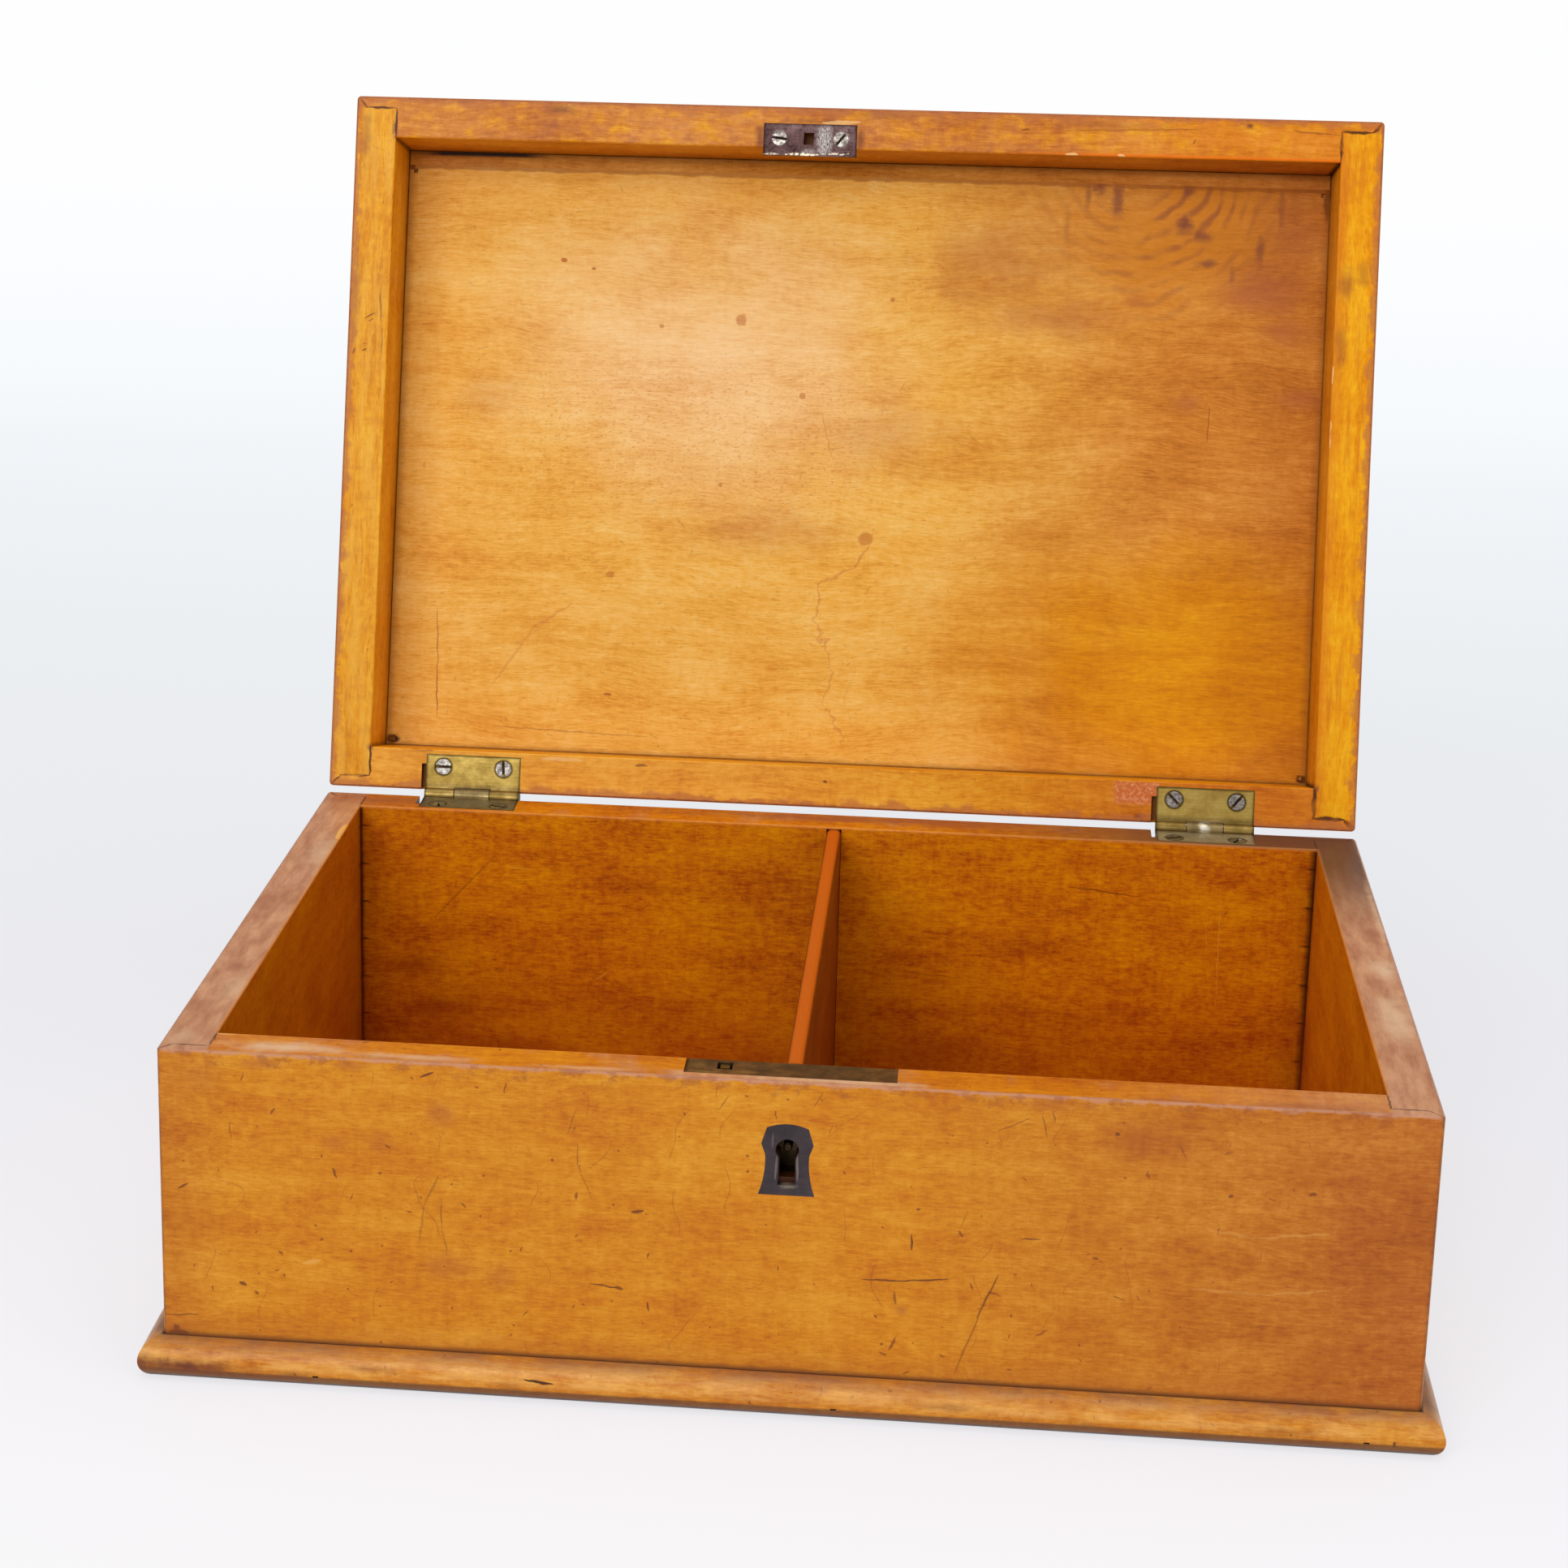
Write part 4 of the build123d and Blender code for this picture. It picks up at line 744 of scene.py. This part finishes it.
def panel_finish(w):
    """A pale painted sheen left of the middle, browner and then golden orange to the right, a
    ringed knot at the front edge, drops of varnish, and painted shade along the edges where the
    rails hold it."""
    place, x, y, back = w.place, w.x, w.y, w.back
    face = w.span(w.z, HOLLOW + 0.6, HOLLOW + 0.3)
    # Painted sheen left of the middle
    pale = w.figured((234, 168, 94), (252, 206, 150), (255, 222, 176))
    w.stains(pale, face, back, PANEL_SHEEN, ragged=0.03, depth=0.7)
    stir = w.noise(place, (40, 18, 1), 4, 0.6)
    browner = w.span(w.times_plus(stir, 60, x), 36, 138, smooth=True)
    brown = w.figured((160, 84, 30), (206, 124, 44), (234, 160, 72))
    w.wash(brown, 0.9, browner, face)
    orange = w.figured((190, 102, 0), (222, 140, 0), (242, 172, 16))
    w.stains(orange, face, back, PANEL_LOW_RIGHT, 0.2, 0.04, 0.9)
    w.stains((176, 96, 62), face, back, PANEL_CLOUDS, ragged=0.08, depth=1.5)

    centre = {"Centre": (80, 6 - HALF_Y, HOLLOW), "Shape": (1, 0.92, 0), "Stir": 11}
    knot = use(w, rings, Place=place, Pitch=1.5, Inner=14, Outer=54, **centre)
    broken = w.span(w.noise(place, (11, 11, 1), 4), 0.42, 0.58, 0.12, 1)
    side = w.both(w.span(x, 62, 92, 0.25, 1), face)
    w.wash((214, 132, 36), 0.7, knot["Area"], side)
    w.wash((148, 80, 56), 0.64, knot["Waves"], side, broken)
    w.stains((126, 68, 58), face, back, KNOT_CORES, ragged=0.3, depth=1.7)
    w.stains((190, 104, 40), face, back, PANEL_DROPS, 0.6, 0.5, 0.8)
    w.stains((44, 20, 10), face, back, PANEL_NAILS, 0.5, 0.5, 0.8)
    w.lines((150, 70, 36), face, back, PANEL_SCRATCHES)
    w.lines((196, 112, 60), face, back, PANEL_LINES, wander=9)

    freckle = w.span(w.noise(place, (1.3, 0.7, 1), 3, 0.6), 0.56, 0.66)
    rubbed = w.both(w.within(x, -92, -6, 34), w.within(back, 84, 112, 22), face)
    w.wash((196, 112, 56), 0.45, freckle, rubbed)
    # Painted shade along the edges where the rails stand over the panel
    soft = w.noise(place, (6, 6, 1), 4)
    ends = w.span(w.in_x, w.times_plus(soft, 5, 0.5), 0)
    rear = w.span(w.minus(IN_Y, y), w.times_plus(soft, 3, 0.2), 0)
    w.wash((146, 76, 24), 0.6, w.most(ends, rear), face)
    seam = w.times_plus(soft, 1.6, w.plus(y, IN_Y - STRIP_WIDTH))
    w.wash((160, 88, 36), 0.6, w.span(seam, 0.5, 0), face)


def strip_finish(w):
    """Shadowed along the rail, browner at the right, with a black gap at the left."""
    off = w.plus(w.y, IN_Y)
    face = w.span(w.z, HOLLOW + 1.5, HOLLOW + 1)
    browner = w.figured((160, 86, 26), (206, 126, 46), (230, 156, 72))
    w.wash(browner, 0.95, w.span(w.x, 20, 84), face)
    w.wash((110, 56, 10), 0.6, w.span(off, 2.6, 0.4), face)
    gap = w.both(w.within(w.x, -130, -104, 8), w.span(off, 1.7, 1))
    w.wash((20, 10, 8), 0.95, gap, face)


MOULDING_STAINS = (
    (-146, 4.2, 22, 3.2, 1), (-158, 4.5, 8, 4, 0.9), (-100, 6.4, 9, 1.4, 0.5),
    (-30, 3, 9, 1.6, 0.5), (40, 6, 12, 1.6, 0.4), (74, 3.4, 9, 1.6, 0.45), (-120, 3.5, 8, 2, 0.45),
    (-66, 4, 5, 2, 0.3), (120, 5, 12, 2.5, 0.3),
)
MOULDING_GASHES = ((-62, 6.2, -55, 5.6, 0.5, 0.95), (146, 4.4, 146, 3, 0.5, 0.7))


def moulding_finish(w):
    """Greyish dirt along the wall with painted shade and dirt in the crease, a painted highlight on
    the round, and a painted shadow with dirt along the floor.
    """
    z = w.z
    on_front = w.math("LESS_THAN", w.y, -HALF_Y)
    uneven = w.noise(w.place, (15, 15, 3), 5, 0.65)
    # Painted highlight along the round of the moulding
    rubbed = w.both(w.within(z, 5.4, 8.2, 1.4), w.span(uneven, 0.4, 0.6))
    w.wash((246, 192, 112), 0.42, rubbed)
    dirt = w.span(z, w.times_plus(uneven, 6, 4.2), MOULDING_TOP - 0.3)
    w.wash((136, 98, 76), 0.66, dirt, w.span(uneven, 0.38, 0.6, 0.35, 1))
    # Painted shade with dirt in the crease where the moulding meets the wall
    crease = w.span(w.in_from_side, -0.7, -0.2)
    crease = w.both(crease, w.span(z, MOULDING_TOP - 1, MOULDING_TOP - 0.2))
    w.wash((62, 40, 30), 0.9, crease)
    # Painted shadow, with dirt, along the floor under the moulding
    w.wash((88, 52, 30), 0.75, w.span(z, 3.75, 3.1))
    w.wash((52, 34, 26), 0.9, w.span(z, 1.7, 0.8))
    returned = w.both(w.span(w.ax, HALF_X, HALF_X + 0.6), w.span(w.y, -HALF_Y, -HALF_Y + 4))
    returned = w.both(returned, w.span(uneven, 0.36, 0.6, 0.35, 1))
    w.wash((122, 84, 58), 0.62, returned)
    w.stains((112, 58, 36), on_front, z, MOULDING_STAINS, ragged=0.2)
    w.lines((56, 28, 22), on_front, z, MOULDING_GASHES)


BACK_STAINS = (
    (-124, 50, 14, 6, 0.5), (-116, 62, 16, 5, 0.55), (-95, 75, 26, 6, 0.5), (-20, 76, 26, 9, 0.4),
    (-52, 22, 9, 3, 0.3), (30, 70, 30, 10, 0.35), (60, 34, 24, 8, 0.25),
)
BACK_LINES = (
    (70, 15, 90, 17, 0.3, 0.6), (-100, 14, -118, 34, 0.4, 0.35), (24, 44, 40, 45, 0.3, 0.35),
)
BACK_RUBS = (
    (113.7, 14, 114.2, 50, 0.22, 0.55), (110, 20, 110.5, 31, 0.2, 0.35),
    (-96, 17, -89, 17.4, 0.22, 0.7), (-70, 52, -66, 49, 0.5, 0.4),
)


def back_finish(w):
    """The back board: what the other walls have, with stains and scratches inside the box."""
    inside = w.span(w.y, IN_Y + 0.6, IN_Y + 0.3)
    w.stains((146, 52, 0), inside, w.deep, BACK_STAINS, ragged=0.14)
    w.lines((96, 36, 4), inside, w.deep, BACK_LINES)
    w.lines((236, 160, 46), inside, w.deep, BACK_RUBS)
    wall_finish(w)


def partition_finish(w):
    """Dark tones stand for painted shade on it; its top is painted lighter where the light falls,
    and more painted shade darkens it downwards and along its grooves.
    """
    # Painted light: the top lighter where light falls on it
    w.wash((206, 92, 0), 0.9, w.span(w.z, RIM - 1.3, RIM - 0.9))
    # Painted shade, darker downwards and at the ends in the grooves
    w.wash((110, 42, 0), 0.35, w.span(w.z, 56, 10, smooth=True))
    w.wash((70, 28, 4), 0.8, w.span(w.ay, IN_Y - 2, IN_Y - 0.2))


# Dark, middle and pale tones
AMBER = ((180, 90, 2), (206, 128, 20), (224, 156, 46))
DEEP = ((168, 72, 0), (210, 118, 0), (234, 152, 6))
# Partition tones, dark as painted shade
PARTITION_SHADE = ((92, 40, 0), (126, 56, 0), (160, 80, 0))
GOLDEN = ((212, 128, 30), (240, 175, 72), (252, 206, 118))
RAIL = ((186, 98, 2), (228, 148, 14), (246, 188, 50))
STRIP = ((160, 88, 14), (202, 130, 40), (228, 162, 72))
BASE = ((170, 84, 8), (206, 128, 34), (232, 168, 68))

LID_RAIL = {"lid": True, "knocked": 0.5, "shine": 0.1}
PANEL = {"lid": True, "knocked": 0.25, "shine": 0.08, "coat": 0.05}
PANEL["shares"] = (0.34, 0.6, 0.6, 0.4, 0.12)
# Each varnish: name, grain, seed, tones inside and outside, finish, what else sets it, its pieces
WOODS = (
    ("front_board_varnish", "x", 0, DEEP, AMBER, front_finish, {}, "front_board"),
    ("back_board_varnish", "x", 1.3, DEEP, AMBER, back_finish,
     {"knocked": 0.4, "shares": (0.46, 0.7, 0.7, 0.85, 0.3)}, "back_board"),
    ("side_board_varnish", "y", 2.1, DEEP, AMBER, wall_finish, {"knocked": 0.5},
     "left_side_board", "right_side_board"),
    ("long_moulding_varnish", "x", 3.7, BASE, BASE, moulding_finish, {"gloss": 0.34},
     "front_moulding", "rear_moulding"),
    ("short_moulding_varnish", "y", 4.2, BASE, BASE, moulding_finish, {"gloss": 0.34},
     "left_moulding", "right_moulding"),
    ("bottom_board_wood", "x", 5.5, DEEP, BASE, None, {"gloss": 0.6, "coat": 0}, "bottom_board"),
    ("partition_varnish", "y", 6.1, PARTITION_SHADE, PARTITION_SHADE, partition_finish, {"knocked": 0.3}, "partition"),
    ("long_lid_rail_varnish", "x", 7.4, RAIL, AMBER, rail_finish, LID_RAIL,
     "lid_front_rail", "lid_rear_rail"),
    ("short_lid_rail_varnish", "y", 8.8, RAIL, AMBER, rail_finish, LID_RAIL,
     "lid_left_rail", "lid_right_rail"),
    ("lid_panel_varnish", "x", 9.3, GOLDEN, AMBER, panel_finish, PANEL, "lid_panel"),
    ("panel_strip_varnish", "x", 10.6, STRIP, AMBER, strip_finish,
     {"lid": True, "knocked": 0.3, "shine": 0.1}, "lid_panel_strip"),
)
worn_by = {}
for name, grain, seed, inner, outer, finish, settings, *nodes in WOODS:
    material = varnished(name, grain, seed, inner, outer, finish, **settings)
    worn_by.update(dict.fromkeys(nodes, material))


# ---- metals ----

def metal(name, tones, roughness, finish=None, lid=False, metallic=1, patch_size=6):
    """Old metal: three tones in soft patches, with fine brushed lines along x that shine."""
    material, tree, shader = finish_of(name)
    w = Spot(tree, lid)
    patches = w.noise(w.place, patch_size, 4, 0.65)
    scratch = w.noise(w.place, (9, 0.22, 0.22), 3)
    w.tone = w.times_plus(w.minus(scratch, 0.5), 0.5, patches)
    w.colour = w.figured(*tones)
    if finish:
        finish(w)
    w.put(w.colour, shader.inputs["Base Color"])
    shader.inputs["Metallic"].default_value = metallic
    w.put(w.span(patches, 0.3, 0.7, roughness + 0.12, roughness - 0.1), shader.inputs["Roughness"])
    bump(w, shader, 0.25, 0.0001, w.times_plus(scratch, 0.4, patches))
    return material


def leaf_finish(w):
    """A hinge leaf: dark round its edge and its screws, greyer on the knuckles, worn and with a
    painted highlight on one knuckle, and with painted shade on the left lower leaf.
    """
    x, y = w.x, w.y
    across = w.size(w.minus(w.ax, HINGE_X))
    off = w.length(w.minus(across, SCREW_SPREAD), w.minus(y, SCREW_Y))
    knuckle = w.figured((92, 74, 40), (132, 108, 60), (176, 148, 92))
    w.wash(knuckle, 0.85, w.span(y, KNUCKLE_Y - 1.4, KNUCKLE_Y))
    # Partly worn brass, partly a painted highlight, on the middle knuckle of the right hinge
    worn = w.both(w.within(w.minus(x, HINGE_X), -0.9, 0.6, 1.3), w.span(w.tone, 0.4, 0.5))
    w.wash((240, 232, 214), 0.8, worn, w.span(y, KNUCKLE_Y + 0.2, KNUCKLE_Y + 1))
    # Painted shade: the top of the left lower leaf darker
    left_leaf_shade = w.both(w.span(x, 0, -1), w.span(w.z, RIM - 1.2, RIM - 0.6))
    w.wash((84, 70, 36), 0.6, left_leaf_shade, w.span(y, KNUCKLE_Y + 0.4, KNUCKLE_Y - 0.6))
    edge = w.span(across, HALF_LEAF - 0.8, HALF_LEAF - 0.2)
    w.wash((52, 40, 22), 0.75, w.most(edge, w.span(w.minus(y, LEAF_Y), 0.8, 0.25)))
    w.wash((40, 30, 20), 0.85, w.span(off, 3.1, 2.6), w.span(off, 2.1, 2.3))


STRIKE_RUBS = (
    (-11.2, 9.6, 3.4, 6.4, 1), (-6.2, 9.2, 3, 3.2, 0.9), (-24.6, 9.2, 2.6, 2.8, 0.6),
    (-16, 13.2, 3, 1.2, 0.5),
)
STRIKE_LINES = (
    (-22.5, 14, -13, 14.1, 0.5, 1), (-29.2, 14.2, -25, 14.2, 0.3, 0.7),
    (-12, 13.9, -4, 13.6, 0.35, 0.8),
)
PLATE_RUBS = ((-20, 4.4, 6, 1.3, 0.7), (-10.5, 5.4, 5, 1, 0.7), (-22, 9, 3, 3, 0.4))
SLOT_RUBS = ((0.4, 26.6, 2.8, 1, 0.8),)
SLOT_LINES = (
    (-2.5, 19, -2.7, 25, 0.3, 0.6), (2.4, 18.4, 2.6, 25, 0.35, 0.7),
    (-3.4, 13, -3.6, 17, 0.25, 0.4),
)


def strike_finish(w):
    """The strike plate: silvery where it is rubbed beside its hole and along its edge."""
    rust = w.noise(w.place, (0.9, 0.9, 1), 4, 0.7)
    w.wash((120, 84, 78), 0.6, w.span(rust, 0.46, 0.62))
    w.wash((58, 40, 42), 0.6, w.span(rust, 0.46, 0.36))
    streaks = w.span(w.noise(w.place, (0.34, 0.9, 1), 4, 0.7), 0.4, 0.6)
    silver = w.patches(w.back, STRIKE_RUBS, 0.3, 0.4, 0.9)
    w.wash((206, 200, 196), 0.9, silver, streaks)
    ends = w.span(w.size(w.minus(w.x, STRIKE_X)), 13, 13.8)
    w.wash((36, 24, 24), 0.8, w.most(ends, w.span(w.back, 5.7, 5)))
    w.lines((240, 224, 198), w.span(rust, 0.42, 0.5), w.back, STRIKE_LINES)


def lock_plate_finish(w):
    """The lock's edge in the rim: olive where it is rubbed, black at its left end."""
    w.stains((168, 146, 92), 1, w.back, PLATE_RUBS, ragged=0.3)
    outline = w.most(w.span(w.x, -24.4, -25.1), w.span(w.back, 3.7, 3.1))
    w.wash((34, 24, 16), 0.85, outline)


def escutcheon_finish(w):
    """Rubbed greyer beside the slot and in a patch under it."""
    w.lines((122, 108, 104), 1, w.deep, SLOT_LINES, wander=0.6)
    w.stains((126, 112, 96), 1, w.deep, SLOT_RUBS, ragged=0.5)


LEAF = ((136, 110, 54), (174, 146, 76), (206, 178, 102))
# Grey brass of the lower leaves, brightened as a painted reflection of the pale surroundings
GREY_LEAF_AND_REFLECTION = ((132, 122, 96), (166, 156, 128), (206, 198, 172))
PLATE = ((72, 58, 44), (104, 84, 62), (140, 118, 88))
BOLT = ((84, 68, 36), (124, 102, 56), (170, 146, 88))
STRIKE = ((60, 46, 48), (90, 72, 72), (122, 102, 104))
IRON = ((36, 26, 20), (60, 46, 36), (96, 80, 66))
STEEL = ((64, 56, 52), (140, 132, 126), (232, 226, 214))
EBONY = ((32, 22, 26), (46, 34, 40), (68, 52, 56))

upper_brass = metal("upper_leaf_brass", LEAF, 0.42, leaf_finish, True)
lower_brass = metal("lower_leaf_brass", GREY_LEAF_AND_REFLECTION, 0.4, leaf_finish, metallic=0.7)
iron = metal("dark_iron", IRON, 0.5)
steel = metal("screw_steel", STEEL, 0.36, patch_size=1.2)
worn_by["lock_plate"] = metal("lock_plate_brass", PLATE, 0.45, lock_plate_finish)
worn_by["lock_bolt"] = metal("lock_bolt_brass", BOLT, 0.4)
worn_by["strike_plate"] = metal("strike_plate_iron", STRIKE, 0.5, strike_finish, True)
worn_by["escutcheon"] = metal("escutcheon_ebony", EBONY, 0.5, escutcheon_finish, metallic=0)
worn_by["lock_spring"] = worn_by["lock_rivets"] = steel
for node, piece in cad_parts.items():
    of_hinge = lower_brass if "leaf" in node or "hinge_pin" in node else iron
    other = upper_brass if "upper_leaf" in node else of_hinge
    piece.data.materials.clear()
    piece.data.materials.append(worn_by.get(node, other))


# ---- slotted screws ----

def screw_shape(head, shank, length):
    """A wood screw standing on its tip, head up, its slot along y. Columns of points cross the
    head and drop in the slot. Below, the radius at a depth and a turn swings once for each pitch
    of depth less turns, as a thread's does, and shrinks to the tip. Returns points and faces."""
    slot, drop, pitch, plain = 0.4, 0.8, 1.7, 0.3
    across = head / 2 * np.sin(np.radians(np.linspace(-80, -20, 7)))
    column = np.concatenate([across, [-slot, -slot, slot, slot], -across[::-1]])
    middle = (len(column) - 1) / 2
    low = drop * (np.abs(np.arange(len(column)) - middle) < 1)
    half = np.sqrt((head / 2 - low) ** 2 - column**2)
    loop_x, loop_y = np.concatenate([column, column[::-1]]), np.concatenate([half, -half[::-1]])
    rim = np.stack([loop_x, loop_y, -np.concatenate([low, low[::-1]])], axis=-1)
    turn = np.arctan2(loop_y, loop_x)
    depth = np.linspace((head - shank) / 2, length - 0.4, 24)[:, None]
    swing = np.abs(2 * ((depth / pitch + turn / (2 * np.pi)) % 1) - 1) * (depth > length * plain)
    radius = shank / 2 * np.minimum(1, (length - depth) / 2.5) * (1 - 0.3 * swing)
    threads = np.stack([radius * np.cos(turn), radius * np.sin(turn), 0 * turn - depth], axis=-1)
    points = np.concatenate([rim, threads.reshape(-1, 3), [[0, 0, -length]]])
    count = len(turn)
    here = np.arange(count)
    after = (here + 1) % count
    i = np.arange(len(column) - 1)
    top = np.stack([count - 1 - i, count - 2 - i, i + 1, i], axis=-1)
    layer = np.arange(len(depth))[:, None] * count
    ring, next_ring = (layer + here, layer + after), (layer + count + after, layer + count + here)
    walls = np.stack([*ring, *next_ring], axis=-1)
    last = len(depth) * count
    tip = np.stack([last + here, last + after, np.full(count, len(points) - 1)], axis=-1)
    return points, top.tolist() + walls.reshape(-1, 4).tolist() + tip.tolist()


def screws(node, body, size, places):
    """Screws of one size at several places, in one piece that stands for a CAD node. The three
    middle faces across each head, its slot, take the dark iron finish as painted shade."""
    points, faces = screw_shape(*size)
    all_points, all_faces = [], []
    for place in places:
        turned = np.array(place.to_3x3())
        all_faces += [[k + len(all_points) * len(points) for k in face] for face in faces]
        all_points.append(points @ turned.T + np.array(place.translation))
    mesh = bpy.data.meshes.new(node + "_slotted")
    mesh.from_pydata((np.concatenate(all_points) / 1000).tolist(), [], all_faces)
    piece = added(node + "_slotted", mesh)
    mesh.materials.append(steel)
    mesh.materials.append(iron)
    # Painted shade: the slot faces take the dark iron finish
    in_slot = np.abs(np.arange(len(faces)) - 8) < 2
    mesh.polygons.foreach_set("material_index", np.tile(in_slot, len(places)).astype(np.int32))
    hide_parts(node)
    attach(piece, body)


def spun(degrees):
    """A screw's turn about its own axis."""
    return Matrix.Rotation(radians(degrees), 4, "Z")


def in_box(x, y, degrees):
    """A screw in the rim of the box."""
    return Matrix.Translation((x, y, RIM)) @ spun(degrees)


def in_lid(x, y, degrees):
    """A screw in the sawn face of the open lid."""
    pin = Matrix.Translation((0, PIN_Y, PIN_Z))
    shut = Matrix.Translation((x, y, RIM + SAW_GAP)) @ Matrix.Rotation(pi, 4, "X")
    return pin @ Matrix.Rotation(-OPEN, 4, "X") @ pin.inverted() @ shut @ spun(degrees)


def in_lock(x, z, degrees):
    """A screw in the lock's plate, facing into the box."""
    return Matrix.Translation((x, -IN_Y, z)) @ Matrix.Rotation(-pi / 2, 4, "X") @ spun(degrees)


hinge_rows = [side * HINGE_X + way * SCREW_SPREAD for side in (-1, 1) for way in (-1, 1)]
upper_places = [in_lid(x, SCREW_Y, turn) for x, turn in zip(hinge_rows, (90, 4, 45, -40))]
lower_places = [in_box(x, SCREW_Y, turn) for x, turn in zip(hinge_rows, (20, 75, 110, 150))]
strike_places = [in_lid(STRIKE_X + off, BOLT_Y, turn) for off, turn in ((-9.15, 82), (9.15, 140))]
lock_places = [in_lock(x, LOCK_SCREW_Z, turn) for x, turn in ((-22.7, 25), (22.7, 80))]
screws("hinge_upper_screws", "lid", (4.7, 2.4, 10), upper_places)
screws("hinge_lower_screws", "box", (4.7, 2.4, 10), lower_places)
screws("strike_screws", "lid", (4.4, 2.4, 9), strike_places)
screws("lock_screws", "box", (4, 2, 7), lock_places)


# ---- floor and light ----

FLOOR_TONES = (
    (0, (255, 254, 255)), (0.03, (250, 249, 253)), (0.09, (241, 241, 246)),
    (0.22, (239, 243, 247)), (0.35, (243, 247, 251)), (0.45, (248, 251, 254)),
    (0.7, (254, 254, 255)),
)


def floor():
    """A wide pale floor of one face. To the camera it glows with tones that follow the distance
    back, and near the box it also takes its share of shadow."""
    side, near, far = 6, -6, 12
    corners = [(-side, near, 0), (side, near, 0), (side, far, 0), (-side, far, 0)]
    mesh = bpy.data.meshes.new("floor")
    mesh.from_pydata(corners, [], [(0, 1, 2, 3)])
    piece = added("floor", mesh)
    material, tree, shader = finish_of("pale_floor")
    w = Wiring(tree)
    shader.inputs["Base Color"].default_value = (0.88, 0.88, 0.9, 1)
    shader.inputs["Roughness"].default_value = 0.9
    shader.inputs["Specular IOR Level"].default_value = 0.1
    path = w.node("LightPath", out=None)
    seen = w.most(path.outputs["Is Camera Ray"], path.outputs["Is Glossy Ray"])
    place = w.node("TexCoord", out="Object")
    back = w.parts(place)[1]
    tones = [(stop, tint(*tone)) for stop, tone in FLOOR_TONES]
    glow = w.node("Emission", {"Color": w.ramp(w.span(back, -0.22, 3.3), tones), "Strength": 1})
    distance = w.vector("LENGTH", place, out="Value")
    share = w.most(w.span(back, 0.2, 1.2, 0.72, 1), w.span(distance, 1.1, 2.3, 0.72, 1))
    shown = w.node("MixShader", [w.times(seen, share), shader.outputs[0], glow])
    w.put(shown, tree.nodes["Material Output"].inputs[0])
    mesh.materials.append(material)
    piece.location.z = -0.0002


def lamp(name, place, aim, size, power):
    """A soft square lamp at a place, turned to what it lights."""
    data = bpy.data.lights.new(name, "AREA")
    data.size, data.energy = size, power
    piece = added(name, data)
    piece.location = place
    piece.rotation_euler = (Vector(aim) - Vector(place)).to_track_quat("-Z", "Y").to_euler()


floor()
lamp("key", (-0.75, -1.9, 1.25), (0, 0.05, 0.12), 1.3, 21)
lamp("fill", (1.6, -1.2, 0.9), (0, 0, 0.1), 1.4, 6)
lamp("top", (0.1, -0.1, 2), (0, 0, 0), 1.6, 12)
world = bpy.data.worlds.new("world")
bpy.context.scene.world = world
world.use_nodes = True
background = world.node_tree.nodes["Background"]
background.inputs[0].default_value = (1, 1, 1, 1)
sky = Wiring(world.node_tree)
seen = sky.node("LightPath", out="Is Camera Ray")
sky.put(sky.times_plus(seen, 0.55, 0.42), background.inputs[1])
